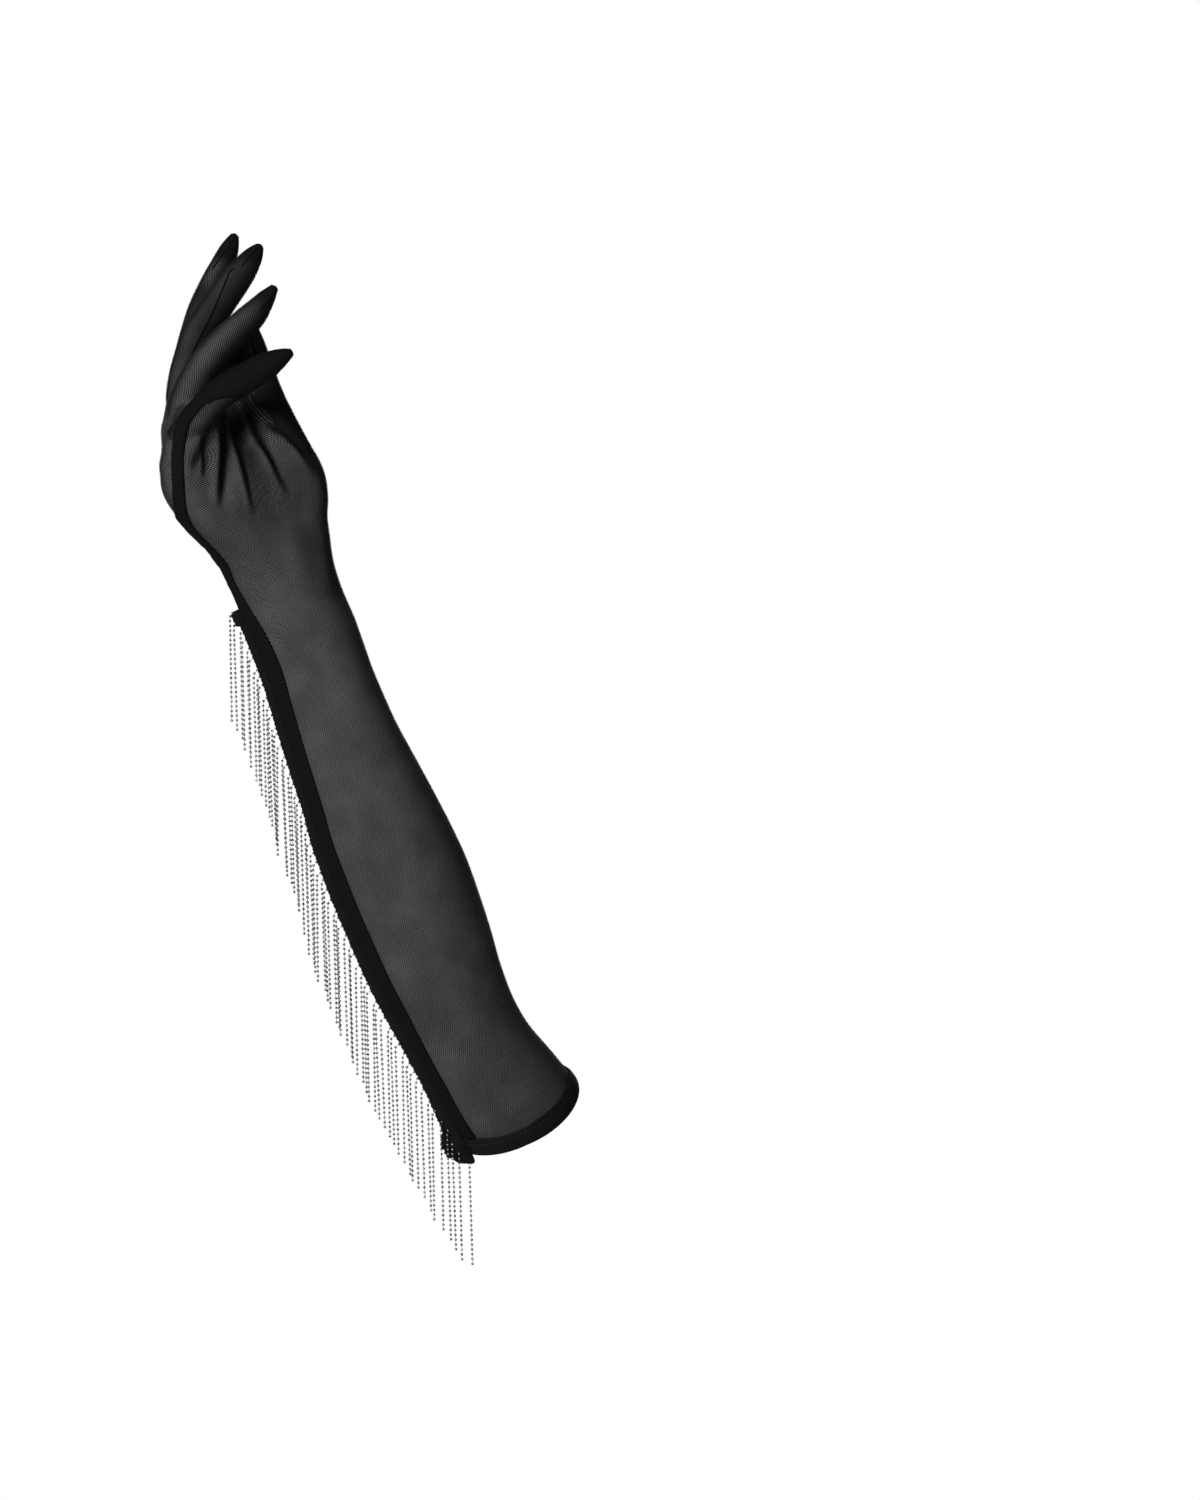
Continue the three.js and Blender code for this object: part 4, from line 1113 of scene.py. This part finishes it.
def tapeRelief(run, share):
    width = glove["tapeWidth"] / tape["columns"]
    column = (share * tape["columns"]) % 1 - 0.5
    phase = run / tape["stitch"] + np.abs(column) * tape["chevron"]
    chain = np.abs(np.sin(math.pi * phase))
    chain = chain * np.sqrt(np.maximum(1 - (tape["chainNarrow"] * column) ** 2, 0))
    lowEnd = 1 - smoothStep((run - tape["roughFrom"]) / tape["roughOver"])
    rough = 1 + tape["rougher"] * lowEnd + tabShare(run)
    # fine lumps, then broad ones
    uneven = ripple(run * 1.1, share * width * 9) * 0.35 + ripple(run * 0.35, share * 5 + 2) * 0.4
    return tape["relief"] * (chain - tape["chainLevel"]) + tape["lumps"] * uneven * rough


def makeTape():
    start, end = -glove["tapeTail"], glove["tapeLength"]
    line = np.linspace(start, end, tape["rows"])
    shares = np.linspace(0, 1, tape["across"])
    run, share = (v.ravel() for v in np.meshgrid(line, shares, indexing="ij"))
    base, thick = tapeBase(run)
    fromEdge = np.minimum(share, 1 - share) / tape["edge"]
    fromEnd = np.minimum(run - start, end - run) / tape["endRound"]
    crown = np.sqrt(1 - (1 - np.clip(fromEdge, 0, 1)) ** 2) * np.sqrt(1 - (1 - np.clip(fromEnd, 0, 1)) ** 2)
    bulge = tape["bulge"] * np.exp(-((run - tape["bulgeRun"]) / tape["bulgeSpread"]) ** 2)
    bulge = bulge * np.cos(share * math.pi / 2) ** tape["bulgeTaper"]
    bulge = bulge * (1 + tape["bulgeUneven"] * ripple(run * 1.7, share * 4))
    height = base + (thick + bulge) * crown
    height += tapeRelief(run, share) * crown
    beat = np.maximum(np.cos(2 * math.pi * run / glove["strandPitch"]), 0) ** 3
    loops = tape["nub"] * beat + tape["ragged"] * ripple(run * 2.3, 0 * run)
    push = loops / glove["tapeWidth"] * np.clip(1 - share / tape["nubShare"], 0, 1)
    corner = np.clip((tape["cornerRun"] - run) / (tape["cornerRun"] - start), 0, 1)
    narrow = tape["cornerShare"] * (1 - np.sqrt(1 - 0.96 * corner ** 2))
    share = share + (1 - share) * narrow - tape["cornerRight"] * share * corner ** 4
    high = tapePoint(run, share - push, height)
    low = tapePoint(run, share - push, base)
    made = closedShell("fringe_tape", low, high, gridFaces(tape["rows"], tape["across"], columnsMeet=False))
    outwards(made)
    return made


fringeTape = makeTape()
# crocheted cotton and polyamide braid: matt black yarn, rough and loose at its edge
fringeTape.data.materials.append(opaqueCloth("blackCrochetBraid", tape["colour"], roughness=0.9,
                                             specular=0.12, grain=0.4, bump=0.5))
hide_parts("bead_fringe")
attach(fringeTape, "root")
print("tape made:", len(fringeTape.data.polygons), "faces")


def lineTree(name, sockets, fill):
    # a node group that dresses the lines of a mesh; fill builds what lies along them
    tree = bpy.data.node_groups.new(name, "GeometryNodeTree")
    for socket, kind in {"Geometry": "Geometry", **sockets, "Surface": "Material"}.items():
        tree.interface.new_socket(socket, in_out="INPUT", socket_type="NodeSocket" + kind)
    tree.interface.new_socket("Geometry", in_out="OUTPUT", socket_type="NodeSocketGeometry")
    given = tree.nodes.new("NodeGroupInput").outputs
    curve = addNode(tree, "GeometryNodeMeshToCurve", {"Mesh": given["Geometry"]})
    if "Pitch" in sockets:
        curve = addNode(tree, "GeometryNodeResampleCurve", {"Curve": curve, "Length": given["Pitch"]},
                        mode="LENGTH")
    smooth = addNode(tree, "GeometryNodeSetShadeSmooth", {0: fill(tree, given, curve)})
    real = addNode(tree, "GeometryNodeRealizeInstances", {0: smooth})
    dressed = addNode(tree, "GeometryNodeSetMaterial", {0: real, "Material": given["Surface"]})
    addNode(tree, "NodeGroupOutput", {0: dressed})
    return tree


def roundTube(tree, given, curve):
    ring = addNode(tree, "GeometryNodeCurvePrimitiveCircle", {
        "Resolution": given["Tube Sides"], "Radius": given["Tube Radius"]})
    return addNode(tree, "GeometryNodeCurveToMesh", {
        "Curve": curve, "Profile Curve": ring, "Fill Caps": True})


def runTree(made, tree, values):
    # runs the tree on an object and keeps the plain mesh
    modifier = made.modifiers.new(tree.name, "NODES")
    modifier.node_group = tree
    for item in tree.interface.items_tree:
        if item.in_out == "INPUT" and item.name in values:
            modifier[item.identifier] = values[item.name]
    return settled(made)


def linesObject(name, lines):
    # a mesh of loose edges, one run of them for each line
    points, edges = [], []
    for line in lines:
        first = len(points)
        points.extend(tuple(p) for p in np.asarray(line) * mm)
        edges.extend((i, i + 1) for i in range(first, len(points) - 1))
    mesh = bpy.data.meshes.new(name)
    mesh.from_pydata(points, edges, [])
    return placed(name, mesh)


# Strands of ball chain
strand = {
    "bead": 1.4, "pitch": 2.45, "link": 0.22,  # millimetres
    "segments": 10, "rings": 6, "linkSides": 5, "leastSize": 0.93, "mostSize": 1.04,
    "reachOut": (0.8, 2.3), "drop": (2.0, 4.2),  # of the curve over the tape's edge
    "hang": (56.3, 58.2), "lean": 0.030, "leanSpread": 0.009,
    "lowRun": 46.0,  # below this run the strands start further in, on the face of the tape
    "lastShorter": 3.5,  # the strand at the knob hangs from higher up
    "jitter": 0.75,  # unevenness of their places along the tape
    "edgeShare": 0.06, "faceShare": 0.70, "knobShare": 0.1,  # across the tape: edge, face and knob
    "above": (0.2, 1.2),  # heights over the tape that give a strand's start and its way out
    "overPoints": 9, "downPoints": 12,
    "knobRun": 2.0, "topClear": 1.2,  # from the tape's two ends
    "outward": 0.6, "lowReach": 0.75,  # how far they turn to the left, and how much less low ones stand off
    "metal": "a4a7ac", "metalShade": "686b71",
}


def ballChain(tree, given, curve):
    ball = addNode(tree, "GeometryNodeMeshUVSphere", {
        "Segments": given["Segments"], "Rings": given["Rings"], "Radius": given["Bead Radius"]})
    size = addNode(tree, "FunctionNodeRandomValue", {
        2: strand["leastSize"], 3: strand["mostSize"], "Seed": given["Seed"]}, 1, data_type="FLOAT")
    beads = addNode(tree, "GeometryNodeInstanceOnPoints", {"Points": curve, "Instance": ball, "Scale": size})
    return addNode(tree, "GeometryNodeJoinGeometry", {0: [beads, roundTube(tree, given, curve)]})


def strandLines():
    chance = np.random.default_rng(seed)
    count = int(glove["tapeLength"] / glove["strandPitch"])
    rootRuns = np.arange(1, count + 1) * glove["strandPitch"] + chance.normal(0, strand["jitter"], count)
    rootRuns = np.minimum(rootRuns, glove["tapeLength"] - strand["topClear"])
    rootRuns = np.concatenate([[strand["knobRun"] - glove["tapeTail"]], rootRuns])
    lines = []
    for run in rootRuns:
        low = smoothStep((strand["lowRun"] - run) / strand["lowRun"])
        share = strand["edgeShare"] + strand["faceShare"] * low + strand["knobShare"] * (run < 0)
        at = np.array([run, run])
        base, thick = tapeBase(at)
        root, above = tapePoint(at, np.full(2, share), base + thick + np.array(strand["above"]))
        out = above - root
        out = np.array([out[0] - strand["outward"], out[1] * strand["outward"], 0])
        out /= np.linalg.norm(out)
        reach = chance.uniform(*strand["reachOut"]) * (1 - strand["lowReach"] * low)
        drop = chance.uniform(*strand["drop"])
        turns = np.linspace(0, math.pi / 2, strand["overPoints"])
        over = root + out * (reach * np.sin(turns))[:, None]
        over[:, 2] -= drop * (1 - np.cos(turns))
        lean = np.array([strand["lean"] + chance.normal(0, strand["leanSpread"]),
                         chance.normal(0, strand["leanSpread"]), -1.0])
        hang = chance.uniform(*strand["hang"]) - drop - strand["lastShorter"] * (run < 0)
        downs = np.linspace(0, hang, strand["downPoints"])[1:]
        lines.append(np.vstack([over, over[-1] + downs[:, None] * lean]))
    return lines


def ballChainMetal():
    # rhodium-plated brass ball chain: bright grey mirror, a little worn so its lights are soft
    material, tree = newMaterial("rhodiumPlatedBrass")
    place = addNode(tree, "ShaderNodeTexCoord", output="Object")
    wear = addNode(tree, "ShaderNodeTexNoise", {"Vector": place, "Scale": 1800.0, "Detail": 2.0})
    share = addNode(tree, "ShaderNodeMapRange", {"Value": wear, **noiseSpan})
    colour = addNode(tree, "ShaderNodeMix", {
        0: share, 6: toLinear(strand["metal"]), 7: toLinear(strand["metalShade"])}, 2, data_type="RGBA")
    dull = addNode(tree, "ShaderNodeMapRange", {"Value": wear, **noiseSpan, "To Min": 0.10, "To Max": 0.2})
    shader = addNode(tree, "ShaderNodeBsdfPrincipled", {
        "Base Color": colour, "Metallic": 1.0, "Roughness": dull})
    addNode(tree, "ShaderNodeOutputMaterial", {"Surface": shader})
    return material


def makeStrands():
    tree = lineTree("ball chain", {
        "Pitch": "Float", "Bead Radius": "Float", "Tube Radius": "Float", "Segments": "Int", "Rings": "Int",
        "Tube Sides": "Int", "Seed": "Int"}, ballChain)
    return runTree(linesObject("fringe_strands", strandLines()), tree, {
        "Pitch": strand["pitch"] * mm, "Bead Radius": strand["bead"] / 2 * mm,
        "Tube Radius": strand["link"] / 2 * mm, "Segments": strand["segments"], "Rings": strand["rings"],
        "Tube Sides": strand["linkSides"], "Seed": seed, "Surface": ballChainMetal()})


strands = makeStrands()
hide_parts("bead_fringe")
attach(strands, "root")
print("strands made:", len(strands.data.polygons), "faces")

# Stitches on the hem, and raised seams along the digits.
thread = {"radius": 0.24, "length": 2.0, "pitch": 2.7, "sides": 6, "points": 181,
          "colour": "161618"}

# A digit, then places along it and degrees round it: short seams at the tips, a long one up the side.
digitSeams = [
    ("indexFinger", [(6.5, -2), (6.0, -10), (5.5, -24), (4.9, -34)]),
    ("middleFinger", [(6.7, -6), (6.0, -10), (5.1, -14)]),
    ("middleFinger", [(4.7, -30), (4.3, -38), (3.5, -12), (2.85, 4), (2.2, 10), (1.5, 2)]),
    ("ringFinger", [(6.8, 30), (6.2, 22), (5.5, 14)]),
    ("littleFinger", [(6.8, -34), (6.3, -18), (5.8, -6)]),
    ("thumb", [(6.6, 10), (5.6, 12), (4.6, 12)]),
]
seam = {"radius": 0.42, "sunk": 0.05, "sides": 6, "points": 24, "colour": "070708"}


def stitchRow(tree, given, curve):
    tangent = addNode(tree, "GeometryNodeInputTangent")
    turn = addNode(tree, "FunctionNodeAlignRotationToVector", {"Vector": tangent}, axis="Z")
    grain = addNode(tree, "GeometryNodeMeshUVSphere", {
        "Segments": given["Sides"], "Rings": given["Sides"], "Radius": given["Thickness"]})
    shape = addNode(tree, "ShaderNodeCombineXYZ", {"X": 1.0, "Y": 1.0, "Z": given["Stretch"]})
    return addNode(tree, "GeometryNodeInstanceOnPoints", {
        "Points": curve, "Instance": grain, "Rotation": turn, "Scale": shape})


def makeStitches():
    angles = np.linspace(0, 2 * math.pi, thread["points"])
    lower = 1 - hem["shallow"] * hump(angles, hem["shallowAt"], hem["shallowSpread"])
    top = placeAtRun((hem["depth"] - hem["seamDown"]) * lower)
    # bonded polyester thread, slightly glossier than the cloth
    cotton = opaqueCloth("bondedPolyesterThread", thread["colour"], roughness=0.6, specular=0.25, grain=0.3,
                         bump=0.1)
    tree = lineTree("stitch row", {
        "Pitch": "Float", "Thickness": "Float", "Stretch": "Float", "Sides": "Int"}, stitchRow)
    return runTree(linesObject("hem_stitches", [skin(top, angles, hem["outer"])]), tree, {
        "Pitch": thread["pitch"] * mm, "Thickness": thread["radius"] * mm,
        "Stretch": thread["length"] / 2 / thread["radius"], "Sides": thread["sides"], "Surface": cotton})


def makeSeams():
    lines = []
    for name, spots in digitSeams:
        spots = np.array(spots, float)
        path = catmull(spots, np.linspace(0, len(spots) - 1, seam["points"]))
        lines.append(digitSkin(digitRows[name], path[:, 0], np.radians(path[:, 1]), seam["sunk"]))
    # overlocked net at the seams of the digits: dull and dense
    cloth = opaqueCloth("overlockedEdge", seam["colour"], roughness=0.9, specular=0.08, grain=0.4, bump=0.2)
    tree = lineTree("raised seam", {"Tube Radius": "Float", "Tube Sides": "Int"}, roundTube)
    return runTree(linesObject("digit_seams", lines), tree, {
        "Tube Radius": seam["radius"] * mm, "Tube Sides": seam["sides"], "Surface": cloth})


for made, node, slot in ((makeStitches(), "opening_hem", "hem"), (makeSeams(), "mesh_glove", "mesh")):
    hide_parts(node)
    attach(made, "root")
print("stitches and seams made")

# Floor, backdrop and light
studio = {
    "floorZ": -0.62, "floorRadius": 1.6, "floorColour": "dcdcda",
    "backdrop": 1.0, "ambient": 0.16,
    "keyPower": 108.0, "keySize": 1.1, "keyPlace": (-1.6, -2.7, 1.1),
    "backPower": 14.0, "backSize": 1.6, "backPlace": (0.3, 2.6, 0.9),
    "aim": (-0.07, -0.04, 0.19),
}


def makeWorld():
    world = bpy.data.worlds.new("studio")
    scene.world = world
    world.use_nodes = True
    tree = world.node_tree
    tree.nodes.clear()
    forCamera = addNode(tree, "ShaderNodeLightPath", output="Is Camera Ray")
    light, seen = (addNode(tree, "ShaderNodeBackground", {"Color": (1, 1, 1, 1), "Strength": studio[name]})
                   for name in ("ambient", "backdrop"))
    mixed = addNode(tree, "ShaderNodeMixShader", {0: forCamera, 1: light, 2: seen})
    addNode(tree, "ShaderNodeOutputWorld", {"Surface": mixed})
    scene.view_settings.view_transform = "Standard"  # keeps the white backdrop white


def makeFloor():
    shape = bmesh.new()
    bmesh.ops.create_circle(shape, cap_ends=True, segments=96, radius=studio["floorRadius"])
    mesh = bpy.data.meshes.new("floor")
    shape.to_mesh(mesh)
    shape.free()
    floor = placed("floor", mesh)
    floor.location = (0, 0, studio["floorZ"])
    # matt laminate sheet, nearly white
    mesh.materials.append(opaqueCloth("paleLaminate", studio["floorColour"], roughness=0.8, specular=0.3,
                                      grain=4.0, bump=0.02))


def softbox(name, place, power, size):
    lamp = bpy.data.lights.new(name, "AREA")
    lamp.energy, lamp.size, lamp.shape = power, size, "DISK"
    made = placed(name, lamp)
    made.location = place
    made.rotation_euler = (Vector(studio["aim"]) - Vector(place)).to_track_quat("-Z", "Y").to_euler()


makeWorld()
makeFloor()
softbox("keyLight", studio["keyPlace"], studio["keyPower"], studio["keySize"])
softbox("backLight", studio["backPlace"], studio["backPower"], studio["backSize"])
print("studio made")
